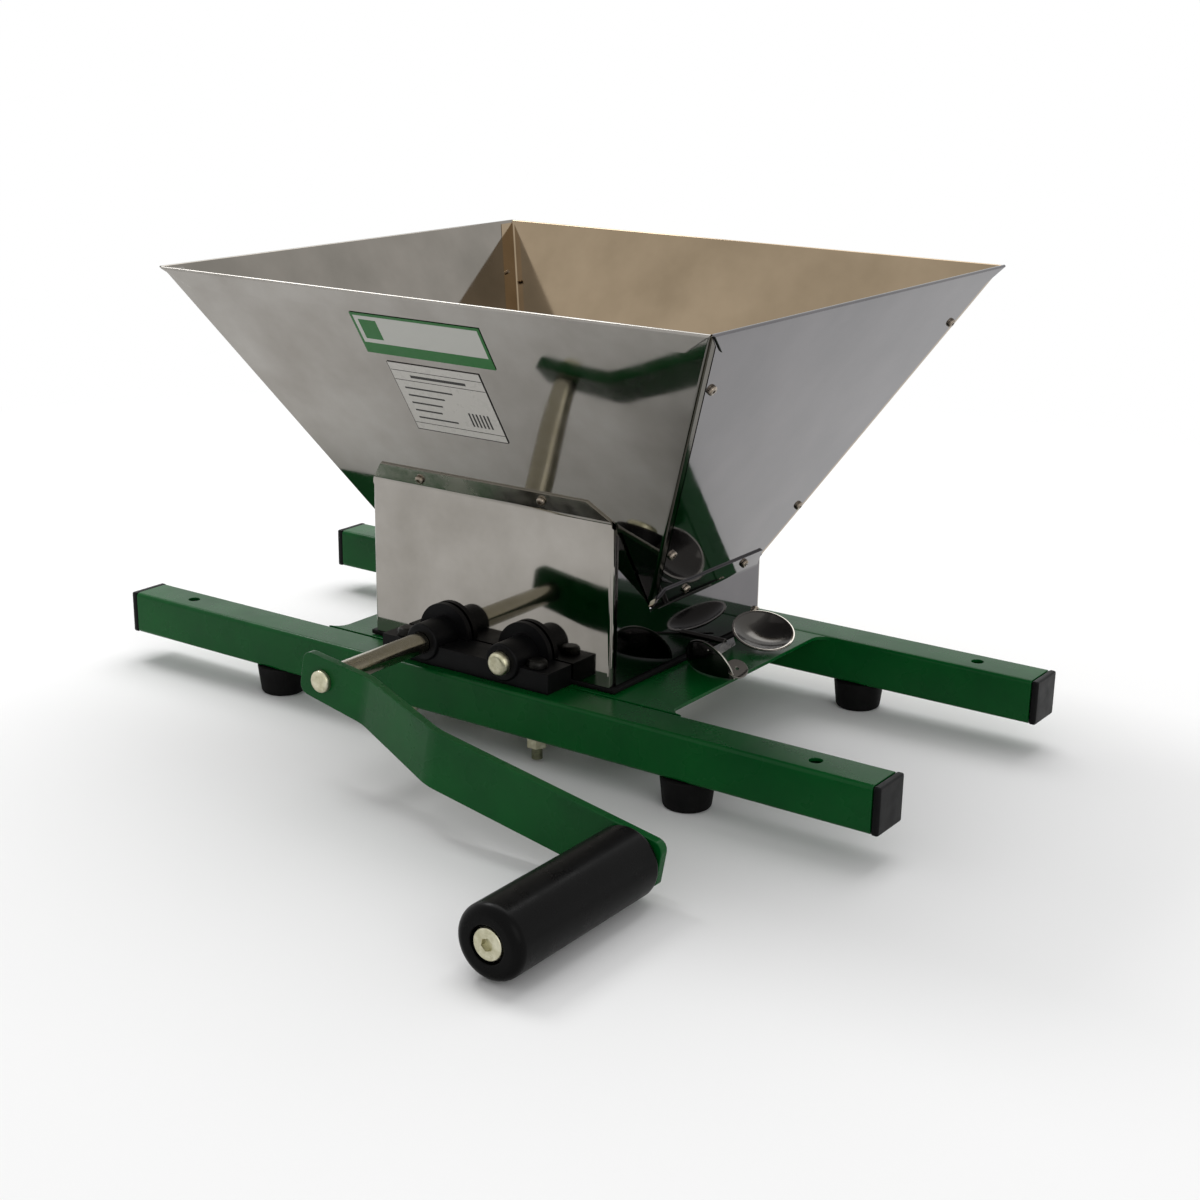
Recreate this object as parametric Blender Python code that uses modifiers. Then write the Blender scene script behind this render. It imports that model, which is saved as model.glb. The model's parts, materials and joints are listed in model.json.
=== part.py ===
"""A hand cranked grape crusher, built piece by piece in metres with +Z up.

Two square rails on rubber feet carry a sheet metal housing and a four-sided hopper.
Under the hopper two lobed rollers turn against each other, joined by a pair of gears
and turned by a crank. Lengths are worked out in the machine's own frame: X along the
rails, Y from the crank to the back, Z up from the floor, X = Y = 0 midway between the
rails. The parent empty then shifts the whole machine so that its box stands centred
on the origin.
"""

import math

import bmesh
import bpy
from mathutils import Matrix, Vector

# Clearances shared by every piece
GAP = 0.0003
SEAM_GAP = 0.0007
CUT_OVERRUN = 0.002
WELD_DISTANCE = 0.000005

# Rails, their end caps and the feet
RAIL_LENGTH = 0.500
RAIL_SIDE = 0.025
RAIL_WALL = 0.002
RAIL_CORNER_RADIUS = 0.0025
RAIL_SETBACK = 0.0157
RAIL_HOLE_RADIUS = 0.0035
RAIL_HOLE_INSET = 0.037
CAP_HEAD_THICKNESS = 0.004
CAP_EDGE_RADIUS = 0.0012
CAP_PLUG_LENGTH = 0.012
FOOT_HEIGHT = 0.017
FOOT_TOP_RADIUS = 0.0145
FOOT_BOTTOM_RADIUS = 0.0125
FOOT_EDGE = 0.002
FOOT_STEM_RADIUS = 0.004
FOOT_BARB_RADIUS = 0.0055
FOOT_BARB_HEIGHT = 0.004
FOOT_INSET = 0.109

# Base plate with the opening that the crushed fruit falls through
PLATE_THICKNESS = 0.002
PLATE_OVERHANG_LEFT = 0.0245
PLATE_OVERHANG_RIGHT = 0.0375
PLATE_FILLET = 0.008
OPENING_SIDE_MARGIN = 0.0225
OPENING_FRONT_MARGIN = 0.0063
OPENING_BACK_MARGIN = 0.0043
OPENING_CORNER_RADIUS = 0.006

# Sheet metal housing and the gasket it stands on
SHEET = 0.001
HOUSING_HALF_WIDTH = 0.0825
HOUSING_HALF_DEPTH = 0.0763
GASKET_HEIGHT = 0.003
GASKET_WIDTH = 0.005
GASKET_LIP = 0.002
FLANGE_LENGTH = 0.013
FLANGE_MITRE = 0.0115
SLANT_SETBACK = 0.0015

# Hopper: where its throat lies by housing, rollers and guard, and how far each side leans out
HOPPER_HEIGHT = 0.1679
THROAT_CLEARANCE = 0.0019
THROAT_SIDE_LIP = 0.0005
THROAT_FRONT_SETBACK = 0.0058
THROAT_BACK_MARGIN = 0.0053
LEAN_LEFT = 0.0814
LEAN_RIGHT = 0.0985
LEAN_FRONT = 0.1061
LEAN_BACK = 0.0878
HEM_WIDTH = 0.011
HEM_THICKNESS = 0.0015
SEAM_FLANGE_WIDTH = 0.014

# Shafts, bushes and the brackets that hold them
SHAFT_RADIUS = 0.006
SHAFT_HEIGHT = 0.0126
BUSH_RADIUS = 0.0105
BUSH_NECK_RADIUS = 0.009
BUSH_REACH = 0.0237
BUSH_NECK_REACH = 0.0048
BRACKET_END_ROOM = 0.0295
BRACKET_REACH = 0.0217
BRACKET_HEIGHT = 0.0116
BRACKET_EDGE = 0.0015
LOBE_RADIUS = 0.0172
LOBE_THICKNESS = 0.0033
BRACKET_BOLT_ROOM = 0.0175
BRACKET_BOLT_SETBACK = 0.0147
BOLT_RADIUS = 0.003
BOLT_HEAD_RADIUS = 0.0055
BOLT_HEAD_HEIGHT = 0.004
BOLT_TIP_LENGTH = 0.009
NUT_FLATS = 0.010
NUT_HEIGHT = 0.005
END_SCREW_HEAD_RADIUS = 0.0065
END_SCREW_HEAD_HEIGHT = 0.0042
END_SCREW_LENGTH = 0.014

# Rollers and gears; the rollers almost touch midway and keep room to the housing's sides
ROLLER_SIDE_ROOM = 0.0275
ROLLER_HALF_GAP = 0.0035
ROLLER_LOBE_HEIGHT = 0.002
ROLLER_LOBES = 6
ROLLER_FRONT_ROOM = 0.002
ROLLER_BACK_ROOM = 0.0058
GEAR_TEETH = 22
GEAR_ROOM = 0.0103
GEAR_WIDTH = 0.010
GEAR_BACKLASH = 0.0008
GEAR_HUB_RADIUS = 0.012
GEAR_HUB_LENGTH = 0.006
PRESSURE_ANGLE = math.radians(20.0)
ADDENDUM_SHARE = 0.9
DEDENDUM_SHARE = 1.25
PIN_RADIUS = 0.002

# Guard in front of the gears, and the plates that lead fruit to the rollers
GUARD_SETBACK = 0.002
GUIDE_ROLLER_ROOM = 0.005
GUIDE_LOW_HEIGHT = 0.021

# Crank arm and its turning grip
CRANK_RADIUS = 0.2076
CRANK_ANGLE = math.radians(9.9)
ARM_THICKNESS = 0.005
ARM_STANDOFF = 0.078
ARM_JOGGLE = 0.020
ARM_TAIL = 0.015
ARM_FIRST_BEND = 0.029
ARM_SECOND_BEND = 0.089
ARM_NOSE = 0.016
ARM_TAIL_HALF_WIDTH = 0.0118
ARM_BEND_HALF_WIDTH = 0.0132
ARM_OUTER_HALF_WIDTH = 0.015
ARM_CORNER_RADIUS = 0.005
ARM_CHAMFER = 0.009
TENON_SIDE = 0.0082
CRANK_BOLT_HEAD_RADIUS = 0.006
CRANK_BOLT_HEAD_HEIGHT = 0.0032
CRANK_BOLT_LENGTH = 0.020
GRIP_RADIUS = 0.0175
GRIP_LENGTH = 0.103
GRIP_EDGE_RADIUS = 0.005
GRIP_CLEARANCE = 0.0006
GRIP_RECESS_RADIUS = 0.0088
GRIP_RECESS_DEPTH = 0.004
AXLE_RADIUS = 0.004
AXLE_HEAD_RADIUS = 0.0075
AXLE_SOCKET_FLATS = 0.0055
AXLE_NUT_FLATS = 0.013
AXLE_NUT_HEIGHT = 0.0065

# Pull latch that keeps the housing on the base plate
LATCH_BACK = 0.0135
LATCH_HEIGHT = 0.0084
LATCH_PIN_RADIUS = 0.003
LATCH_REACH = 0.0205
LATCH_LEAF_RADIUS = 0.0168
LATCH_LEAF_SPACING = 0.0576
LATCH_LEAF_DEPTH = 0.005
LATCH_LEAF_TILT = math.radians(18.0)
LATCH_BAR_WIDTH = 0.0075
LATCH_BAR_THICKNESS = 0.002
LATCH_HEAD_RADIUS = 0.0048
LATCH_HEAD_HEIGHT = 0.0026
LATCH_TIP_LENGTH = 0.004
LUG_THICKNESS = 0.002
LUG_SETBACK = 0.0055
LUG_WIDTH = 0.016
LUG_FOOT_LENGTH = 0.012

# Domed screw heads, as shares of the head's radius and height, from the crown down
DOME_SHARES = ((0.0, 1.0), (0.65, 0.86), (1.0, 0.38), (1.0, 0.0))

# Counts of flat sides on round pieces
ROUND_SIDES = 24
SMALL_SIDES = 12
ARC_STEPS = 4
LEAF_RINGS = 2
LOBE_POINTS = 8
FLANK_POINTS = 3
SHARP_ANGLE = math.radians(35.0)

# Heights and reaches that follow from the sizes above
RAIL_TOP = FOOT_HEIGHT + RAIL_SIDE
RAIL_LINE = HOUSING_HALF_DEPTH + RAIL_SETBACK
FOOT_OFFSET = RAIL_LENGTH / 2 - FOOT_INSET
PLATE_LEFT = HOUSING_HALF_WIDTH + PLATE_OVERHANG_LEFT
PLATE_RIGHT = HOUSING_HALF_WIDTH + PLATE_OVERHANG_RIGHT
OPENING_HALF_WIDTH = HOUSING_HALF_WIDTH - OPENING_SIDE_MARGIN
OPENING_FRONT = HOUSING_HALF_DEPTH - OPENING_FRONT_MARGIN
OPENING_BACK = HOUSING_HALF_DEPTH - OPENING_BACK_MARGIN
SHAFT_Z = RAIL_TOP + SHAFT_HEIGHT
SHAFT_SPACING = HOUSING_HALF_WIDTH - ROLLER_SIDE_ROOM
SHAFT_LINE = SHAFT_SPACING / 2
ROLLER_MEAN_RADIUS = SHAFT_LINE - ROLLER_HALF_GAP
ROLLER_TIP_RADIUS = ROLLER_MEAN_RADIUS + ROLLER_LOBE_HEIGHT
GEAR_FRONT = HOUSING_HALF_DEPTH - GEAR_ROOM
GUARD_REAR_FACE = GEAR_FRONT - GEAR_WIDTH - GEAR_HUB_LENGTH - GUARD_SETBACK
GUIDE_LOW_REACH = SHAFT_LINE + ROLLER_TIP_RADIUS + GUIDE_ROLLER_ROOM
ROLLER_FRONT = GUARD_REAR_FACE - ROLLER_FRONT_ROOM
ROLLER_BACK = HOUSING_HALF_DEPTH - ROLLER_BACK_ROOM
BUSH_OUTER_END = HOUSING_HALF_DEPTH + BUSH_REACH
BUSH_INNER_END = HOUSING_HALF_DEPTH - BUSH_NECK_REACH
SHAFT_BACK_END = BUSH_OUTER_END
BRACKET_HALF_LENGTH = SHAFT_LINE + BRACKET_END_ROOM
BRACKET_OUTER_FACE = HOUSING_HALF_DEPTH + BRACKET_REACH
BRACKET_BOLT_OFFSET = SHAFT_LINE + BRACKET_BOLT_ROOM
BRACKET_BOLT_LINE = HOUSING_HALF_DEPTH + BRACKET_BOLT_SETBACK
THROAT_Z = SHAFT_Z + ROLLER_TIP_RADIUS + THROAT_CLEARANCE
THROAT_SIDE = HOUSING_HALF_WIDTH + THROAT_SIDE_LIP
THROAT_FRONT = GUARD_REAR_FACE - THROAT_FRONT_SETBACK
THROAT_BACK = HOUSING_HALF_DEPTH - THROAT_BACK_MARGIN
RIM_Z = THROAT_Z + HOPPER_HEIGHT
ARM_INNER_FACE = BUSH_OUTER_END + ARM_STANDOFF
GRIP_INNER_END = ARM_INNER_FACE + ARM_JOGGLE + GRIP_CLEARANCE
GRIP_OUTER_END = GRIP_INNER_END + GRIP_LENGTH
BRACKET_INNER_FACE = HOUSING_HALF_DEPTH + 2 * GAP
SHEET_BITE = SHEET / 3

ALONG_Y = Matrix.Rotation(math.radians(90.0), 4, "X")
AGAINST_Y = Matrix.Rotation(math.radians(-90.0), 4, "X")


class Side:
    """One leaning side of the hopper, with its outer face as a plane."""

    def __init__(self, name, outward, throat, lean):
        self.name = name
        self.outward = Vector(outward)
        self.throat = throat
        self.slope = lean / HOPPER_HEIGHT
        self.stretch = math.hypot(1.0, self.slope)

    def reach(self, z):
        """Horizontal distance of the outer face from the middle at height z."""
        return self.throat + self.slope * (z - THROAT_Z)

    def height(self, reach):
        """Height at which the outer face is a given distance from the middle."""
        return THROAT_Z + (reach - self.throat) / self.slope

    def climb(self, z):
        """Distance up the face from the throat line to height z."""
        return (z - THROAT_Z) * self.stretch

    def frame(self, lift):
        """Matrix of the face: X along it, Y up it, Z outwards, lifted off it."""
        up = Vector((0.0, 0.0, 1.0))
        along = up.cross(self.outward)
        climb = (self.slope * self.outward + up) / self.stretch
        normal = (self.outward - self.slope * up) / self.stretch
        origin = self.outward * self.throat + THROAT_Z * up + lift * normal
        return basis(along, climb, normal, origin)


def basis(x_axis, y_axis, z_axis, origin):
    """Return the matrix with these axes and origin."""
    matrix = Matrix.Identity(4)
    matrix.col[0].xyz = x_axis
    matrix.col[1].xyz = y_axis
    matrix.col[2].xyz = z_axis
    matrix.col[3].xyz = origin
    return matrix


def upright_frame(outward, distance):
    """Matrix of an upright sheet: X along it, Y up, Z outwards."""
    outward = Vector(outward)
    up = Vector((0.0, 0.0, 1.0))
    return basis(up.cross(outward), up, outward, outward * distance)


# Scene, collections and materials

def clear_scene():
    """Remove every object of the scene."""
    for item in list(bpy.data.objects):
        bpy.data.objects.remove(item, do_unlink=True)


def new_collection(name):
    """Add a collection to the scene."""
    group = bpy.data.collections.new(name)
    bpy.context.scene.collection.children.link(group)
    return group


def new_material(name, colour, roughness, metallic):
    """Make a plain Principled material."""
    made = bpy.data.materials.new(name)
    made.use_nodes = True
    shader = made.node_tree.nodes["Principled BSDF"]
    shader.inputs["Base Color"].default_value = (*colour, 1.0)
    shader.inputs["Roughness"].default_value = roughness
    shader.inputs["Metallic"].default_value = metallic
    made.diffuse_color = (*colour, 1.0)
    return made


def move_to(item, group):
    """Leave an object in one collection only."""
    for held in list(item.users_collection):
        held.objects.unlink(item)
    group.objects.link(item)


def as_piece(item, name, look, parent):
    """Name an object as a piece of the machine and give it its own material."""
    item.name = name
    item.data.name = name
    item.data.materials.clear()
    item.data.materials.append(new_material(name, *look))
    item.parent = parent
    move_to(item, PIECES)
    return item


def as_tool(item, name, parent):
    """Set an object aside as a guide that cuts or joins pieces."""
    item.name = name
    item.parent = parent
    item.hide_render = True
    item.display_type = "WIRE"
    move_to(item, TOOLS)
    return item


def empty(name, parent, matrix):
    """Add an empty that carries a moving group."""
    item = bpy.data.objects.new(name, None)
    item.matrix_local = matrix
    item.parent = parent
    PIECES.objects.link(item)
    return item


# Shapes

def smooth(item):
    """Shade a round piece smooth, with its edges kept sharp."""
    item.data.shade_smooth()
    item.data.set_sharp_from_angle(angle=SHARP_ANGLE)
    return item


def box(low, high):
    """Make a box between two corners."""
    size = [b - a for a, b in zip(low, high)]
    centre = [(a + b) / 2 for a, b in zip(low, high)]
    bpy.ops.mesh.primitive_cube_add(size=1.0, location=centre)
    item = bpy.context.object
    item.data.transform(Matrix.Diagonal((*size, 1.0)))
    return item


def rod(radius, start, end, sides=ROUND_SIDES):
    """Make a round bar between two points."""
    start = Vector(start)
    run = Vector(end) - start
    bpy.ops.mesh.primitive_cylinder_add(
        vertices=sides, radius=radius, depth=run.length, location=start + run / 2)
    item = bpy.context.object
    item.rotation_euler = run.to_track_quat("Z", "Y").to_euler()
    return smooth(item)


def turned(profile, matrix, sides=ROUND_SIDES):
    """Turn a profile of (radius, height) points about its axis.

    An open profile runs from top to bottom; one that ends where it starts is a ring.
    """
    mesh = bpy.data.meshes.new("turned")
    closed = profile[0] == profile[-1]
    points = [(radius, 0.0, height) for radius, height in profile[closed:]]
    edges = [(index, index + 1) for index in range(len(points) - 1)]
    if closed:
        edges.append((len(points) - 1, 0))
    mesh.from_pydata(points, edges, [])
    item = bpy.data.objects.new("turned", mesh)
    bpy.context.scene.collection.objects.link(item)
    item.matrix_local = matrix
    screw = item.modifiers.new("Turn", "SCREW")
    screw.steps = sides
    screw.render_steps = sides
    screw.use_merge_vertices = True
    screw.merge_threshold = WELD_DISTANCE
    screw.use_smooth_shade = True
    return item


def sheet(outlines, thickness, matrix):
    """Cut a flat sheet from closed outlines; outlines inside the first are holes."""
    curve = bpy.data.curves.new("outline", "CURVE")
    curve.dimensions = "2D"
    curve.fill_mode = "BOTH"
    curve.extrude = thickness / 2
    for outline in outlines:
        spline = curve.splines.new("POLY")
        spline.points.add(len(outline) - 1)
        for point, (across, up) in zip(spline.points, outline):
            point.co = (across, up, 0.0, 1.0)
        spline.use_cyclic_u = True
    drawn = bpy.data.objects.new("outline", curve)
    bpy.context.scene.collection.objects.link(drawn)
    drawn.matrix_local = matrix
    return meshed(drawn)


def meshed(drawn):
    """Turn a curve object into a closed mesh object in the same place."""
    bpy.context.view_layer.update()
    graph = bpy.context.evaluated_depsgraph_get()
    mesh = bpy.data.meshes.new_from_object(drawn.evaluated_get(graph))
    shape = bmesh.new()
    shape.from_mesh(mesh)
    bmesh.ops.remove_doubles(shape, verts=shape.verts, dist=WELD_DISTANCE)
    bmesh.ops.recalc_face_normals(shape, faces=shape.faces)
    shape.to_mesh(mesh)
    shape.free()
    item = bpy.data.objects.new("sheet", mesh)
    item.matrix_local = drawn.matrix_world
    bpy.context.scene.collection.objects.link(item)
    bpy.data.objects.remove(drawn, do_unlink=True)
    return item


def combine(item, tool, operation, name):
    """Join, cut or intersect a piece with a tool through a Boolean."""
    as_tool(tool, f"{item.name}_{name}", item.parent)
    change = item.modifiers.new(name, "BOOLEAN")
    change.operation = operation
    change.object = tool
    change.solver = "EXACT"
    return item


def cut(item, tool, name):
    """Cut a tool's shape out of a piece."""
    return combine(item, tool, "DIFFERENCE", name)


def join(item, tool, name):
    """Weld a tool's shape onto a piece."""
    return combine(item, tool, "UNION", name)


def round_edges(item, radius, segments=2):
    """Round a piece's edges with a Bevel."""
    bevel = item.modifiers.new("Edges", "BEVEL")
    bevel.width = radius
    bevel.segments = segments
    bevel.limit_method = "ANGLE"
    return item


# Outlines

def arc(centre, radius, start, end, steps=ARC_STEPS):
    """Points on an arc, both ends included; angles in degrees."""
    points = []
    for index in range(steps + 1):
        angle = math.radians(start + (end - start) * index / steps)
        points.append((centre[0] + radius * math.cos(angle), centre[1] + radius * math.sin(angle)))
    return points


def circle(centre, radius, sides=SMALL_SIDES):
    """Points on a full circle."""
    return arc(centre, radius, 0.0, 360.0, sides)[:-1]


def polygon(sides, flats, centre=(0.0, 0.0)):
    """Corners of a regular polygon with a given width across its flats."""
    radius = flats / 2 / math.cos(math.pi / sides)
    return circle(centre, radius, sides)


def rounded_box(low, high, radius):
    """Outline of a rectangle with round corners."""
    (left, bottom), (right, top) = low, high
    return (arc((right - radius, bottom + radius), radius, -90.0, 0.0)
            + arc((right - radius, top - radius), radius, 0.0, 90.0)
            + arc((left + radius, top - radius), radius, 90.0, 180.0)
            + arc((left + radius, bottom + radius), radius, 180.0, 270.0))


def square_ring(side, wall, radius):
    """Outer and inner outlines of a square tube."""
    half = side / 2
    inner = half - wall
    return [rounded_box((-half, -half), (half, half), radius),
            [(-inner, -inner), (inner, -inner), (inner, inner), (-inner, inner)]]


def dome(radius, base, height):
    """Profile points of a domed screw head, from its crown down to its base."""
    return [(radius * out, base + height * up) for out, up in DOME_SHARES]


def screw_profile(head_radius, head_base, head_height, tip):
    """Profile of a screw with a domed head and a plain shank."""
    shank = [(BOLT_RADIUS, head_base), (BOLT_RADIUS, tip), (0.0, tip)]
    return dome(head_radius, head_base, head_height) + shank


# Looks: colour, roughness, metallic
GREEN = ((0.012, 0.16, 0.055), 0.3, 0.0)
STAINLESS = ((0.55, 0.53, 0.5), 0.22, 1.0)
BLACK_PLASTIC = ((0.012, 0.012, 0.014), 0.42, 0.0)
BLACK_RUBBER = ((0.015, 0.015, 0.015), 0.75, 0.0)
ZINC = ((0.62, 0.6, 0.5), 0.35, 1.0)
STEEL = ((0.5, 0.48, 0.45), 0.3, 1.0)
NYLON = ((0.7, 0.68, 0.6), 0.5, 0.0)

ENDS = (("left", -1.0), ("right", 1.0))
LINES = (("front", -1.0), ("rear", 1.0))


def hopper_sides():
    """The four hopper sides, each followed by the one at its plus end."""
    return [Side("front", (0.0, -1.0, 0.0), THROAT_FRONT, LEAN_FRONT),
            Side("right", (1.0, 0.0, 0.0), THROAT_SIDE, LEAN_RIGHT),
            Side("rear", (0.0, 1.0, 0.0), THROAT_BACK, LEAN_BACK),
            Side("left", (-1.0, 0.0, 0.0), THROAT_SIDE, LEAN_LEFT)]


# Frame

def build_rails(machine):
    """Two square tubes, drilled for the user's screws, the bracket bolts and the feet."""
    turn = Matrix.Rotation(math.radians(90.0), 4, "Y")
    centre_z = RAIL_TOP - RAIL_SIDE / 2
    for line, sign in LINES:
        place = Matrix.Translation((0.0, sign * RAIL_LINE, centre_z))
        outlines = square_ring(RAIL_SIDE, RAIL_WALL, RAIL_CORNER_RADIUS)
        rail = sheet(outlines, RAIL_LENGTH, place @ turn)
        as_piece(rail, f"{line}_rail", GREEN, machine)
        for end, side in ENDS:
            x = side * (RAIL_LENGTH / 2 - RAIL_HOLE_INSET)
            cut(rail, drill((x, sign * RAIL_LINE), RAIL_HOLE_RADIUS, centre_z, RAIL_TOP), f"hole_{end}")
            x = side * BRACKET_BOLT_OFFSET
            radius = BOLT_RADIUS + GAP
            cut(rail, drill((x, sign * BRACKET_BOLT_LINE), radius, FOOT_HEIGHT, RAIL_TOP), f"bolt_{end}")
            x = side * FOOT_OFFSET
            radius = FOOT_STEM_RADIUS + GAP
            cut(rail, drill((x, sign * RAIL_LINE), radius, FOOT_HEIGHT, centre_z), f"foot_{end}")


def drill(place, radius, low, high):
    """An upright drill that runs a little past both heights."""
    x, y = place
    return rod(radius, (x, y, low - CUT_OVERRUN), (x, y, high + CUT_OVERRUN), SMALL_SIDES)


def build_caps(machine):
    """Plastic plugs in the four rail ends."""
    plug_half = RAIL_SIDE / 2 - RAIL_WALL - GAP
    centre_z = RAIL_TOP - RAIL_SIDE / 2
    face = RAIL_LENGTH / 2 + GAP
    for line, sign in LINES:
        y = sign * RAIL_LINE
        half = RAIL_SIDE / 2
        for end, side in ENDS:
            near, far = sorted((side * face, side * (face + CAP_HEAD_THICKNESS)))
            cap = box((near, y - half, centre_z - half), (far, y + half, centre_z + half))
            as_piece(cap, f"{line}_cap_{end}", BLACK_PLASTIC, machine)
            round_edges(cap, CAP_EDGE_RADIUS)
            deep = face - GAP - CAP_PLUG_LENGTH
            near, far = sorted((side * deep, side * (face + CAP_HEAD_THICKNESS / 2)))
            low, high = centre_z - plug_half, centre_z + plug_half
            plug = box((near, y - plug_half, low), (far, y + plug_half, high))
            join(cap, plug, "plug")


def build_feet(machine):
    """Four rubber feet whose barbed stems snap into the rails."""
    wall_top = FOOT_HEIGHT + RAIL_WALL + GAP
    profile = [(0.0, wall_top + FOOT_BARB_HEIGHT),
               (FOOT_STEM_RADIUS, wall_top + FOOT_BARB_HEIGHT),
               (FOOT_BARB_RADIUS, wall_top),
               (FOOT_STEM_RADIUS, wall_top),
               (FOOT_STEM_RADIUS, FOOT_HEIGHT - GAP),
               (FOOT_TOP_RADIUS, FOOT_HEIGHT - GAP),
               (FOOT_BOTTOM_RADIUS, FOOT_EDGE),
               (FOOT_BOTTOM_RADIUS - FOOT_EDGE, 0.0),
               (0.0, 0.0)]
    for line, sign in LINES:
        for end, side in ENDS:
            place = Matrix.Translation((side * FOOT_OFFSET, sign * RAIL_LINE, 0.0))
            foot = turned(profile, place)
            as_piece(foot, f"{line}_foot_{end}", BLACK_RUBBER, machine)


def build_base_plate(machine):
    """The plate between the rails, flush with their tops, with filleted corners."""
    depth = RAIL_LINE - RAIL_SIDE / 2 - GAP
    fillet = PLATE_FILLET
    outline = (arc((PLATE_RIGHT + fillet, fillet - depth), fillet, 270.0, 180.0)
               + arc((PLATE_RIGHT + fillet, depth - fillet), fillet, 180.0, 90.0)
               + arc((-PLATE_LEFT - fillet, depth - fillet), fillet, 90.0, 0.0)
               + arc((-PLATE_LEFT - fillet, fillet - depth), fillet, 0.0, -90.0))
    opening = rounded_box((-OPENING_HALF_WIDTH, -OPENING_FRONT),
                          (OPENING_HALF_WIDTH, OPENING_BACK), OPENING_CORNER_RADIUS)
    place = Matrix.Translation((0.0, 0.0, RAIL_TOP - PLATE_THICKNESS / 2))
    as_piece(sheet([outline, opening], PLATE_THICKNESS, place), "base_plate", GREEN, machine)


def build_gasket(machine):
    """A rubber ring between the base plate and the housing walls."""
    width = HOUSING_HALF_WIDTH + GASKET_LIP
    depth = HOUSING_HALF_DEPTH + GAP
    outer = [(-width, -depth), (width, -depth), (width, depth), (-width, depth)]
    width -= GASKET_WIDTH
    depth -= GASKET_WIDTH
    inner = [(-width, -depth), (width, -depth), (width, depth), (-width, depth)]
    place = Matrix.Translation((0.0, 0.0, RAIL_TOP + (GASKET_HEIGHT + GAP) / 2))
    ring = sheet([outer, inner], GASKET_HEIGHT - GAP, place)
    as_piece(ring, "gasket", BLACK_RUBBER, machine)


# Housing

def fold_height(side, wall_middle):
    """Height where a wall's flange leaves it to lie on the hopper."""
    lift = (GAP + SHEET / 2) * side.stretch
    return side.height(wall_middle - lift)


def wall_outline(side, previous, following, bottom, top):
    """Outline of one housing wall, cut slanting under a leaning neighbour."""
    if side.name in ("front", "rear"):
        half = HOUSING_HALF_WIDTH
        return [(-half, bottom), (half, bottom), (half, top), (-half, top)]
    half = HOUSING_HALF_DEPTH - SHEET - GAP
    front = previous if previous.name == "front" else following
    sign = -1.0 if front is previous else 1.0
    slant_low = front.reach(top) + 2 * GAP
    slant_high = front.height(half - SLANT_SETBACK)
    points = [(sign * half, bottom), (-sign * half, bottom), (-sign * half, top),
              (sign * slant_low, top), (sign * half, slant_high)]
    return points


def flange_outline(side, previous, following, low, high):
    """Outline of the flange that lies on the hopper, with mitred ends."""
    if side.name in ("front", "rear"):
        ends = [(HOUSING_HALF_WIDTH, HOUSING_HALF_WIDTH)] * 2
    else:
        ends = []
        for neighbour in (previous, following):
            room = SHEET * neighbour.stretch + 2 * SEAM_GAP
            ends.append((neighbour.reach(low) - room, neighbour.reach(high) - room))
    (minus_low, minus_high), (plus_low, plus_high) = ends
    return [(-minus_low, side.climb(low)), (plus_low, side.climb(low)),
            (plus_high - FLANGE_MITRE, side.climb(high)), (-minus_high + FLANGE_MITRE, side.climb(high))]


def build_housing(machine, sides):
    """Four upright walls whose flanges lie against the hopper from outside."""
    bottom = RAIL_TOP + GASKET_HEIGHT + GAP
    for index, side in enumerate(sides):
        previous = sides[index - 1]
        following = sides[(index + 1) % len(sides)]
        across = side.name in ("front", "rear")
        face = HOUSING_HALF_DEPTH if across else HOUSING_HALF_WIDTH
        middle = face - SHEET / 2
        fold = fold_height(side, middle)
        outlines = [wall_outline(side, previous, following, bottom, fold + SHEET_BITE)]
        if side.name == "right":
            outlines.append(circle((LATCH_BACK, RAIL_TOP + LATCH_HEIGHT), LATCH_PIN_RADIUS + GAP))
        wall = sheet(outlines, SHEET, upright_frame(side.outward, middle))
        as_piece(wall, f"housing_{side.name}", STAINLESS, machine)
        high = fold + FLANGE_LENGTH / side.stretch
        outline = flange_outline(side, previous, following, fold - SHEET, high)
        join(wall, sheet([outline], SHEET, side.frame(GAP + SHEET / 2)), "flange")
        if across:
            for name, x in (("drive", -SHAFT_LINE), ("driven", SHAFT_LINE)):
                near, far = middle - CUT_OVERRUN, middle + CUT_OVERRUN
                y = side.outward.y
                bore = rod(BUSH_NECK_RADIUS + GAP, (x, y * near, SHAFT_Z), (x, y * far, SHAFT_Z))
                cut(wall, bore, f"bore_{name}")


# Hopper

def panel_reach(side, neighbour, z):
    """Half length of a panel at height z, past or short of its neighbour's face."""
    if side.name in ("front", "rear"):
        return neighbour.reach(z) + (GAP + SHEET / 2) * neighbour.stretch
    return neighbour.reach(z) - SHEET * neighbour.stretch - SEAM_GAP


def panel_outline(side, previous, following, low, high, mitre=0.0, inset=0.0):
    """Outline of a band of a panel between two heights, its ends drawn in below and above."""
    return [(mitre - panel_reach(side, previous, low), side.climb(low)),
            (panel_reach(side, following, low) - mitre, side.climb(low)),
            (panel_reach(side, following, high) - inset, side.climb(high)),
            (inset - panel_reach(side, previous, high), side.climb(high))]


def seam_outline(owner, carrier, low, high):
    """Outline of a seam flange of one panel, drawn on the panel that carries it."""
    points = []
    for z in (low, high):
        edge = owner.reach(z)
        near, far = edge - SHEET_BITE, edge - SEAM_FLANGE_WIDTH
        points.append(((near, carrier.climb(z)), (far, carrier.climb(z))))
    (low_near, low_far), (high_near, high_far) = points
    return [low_near, low_far, high_far, high_near]


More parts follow.
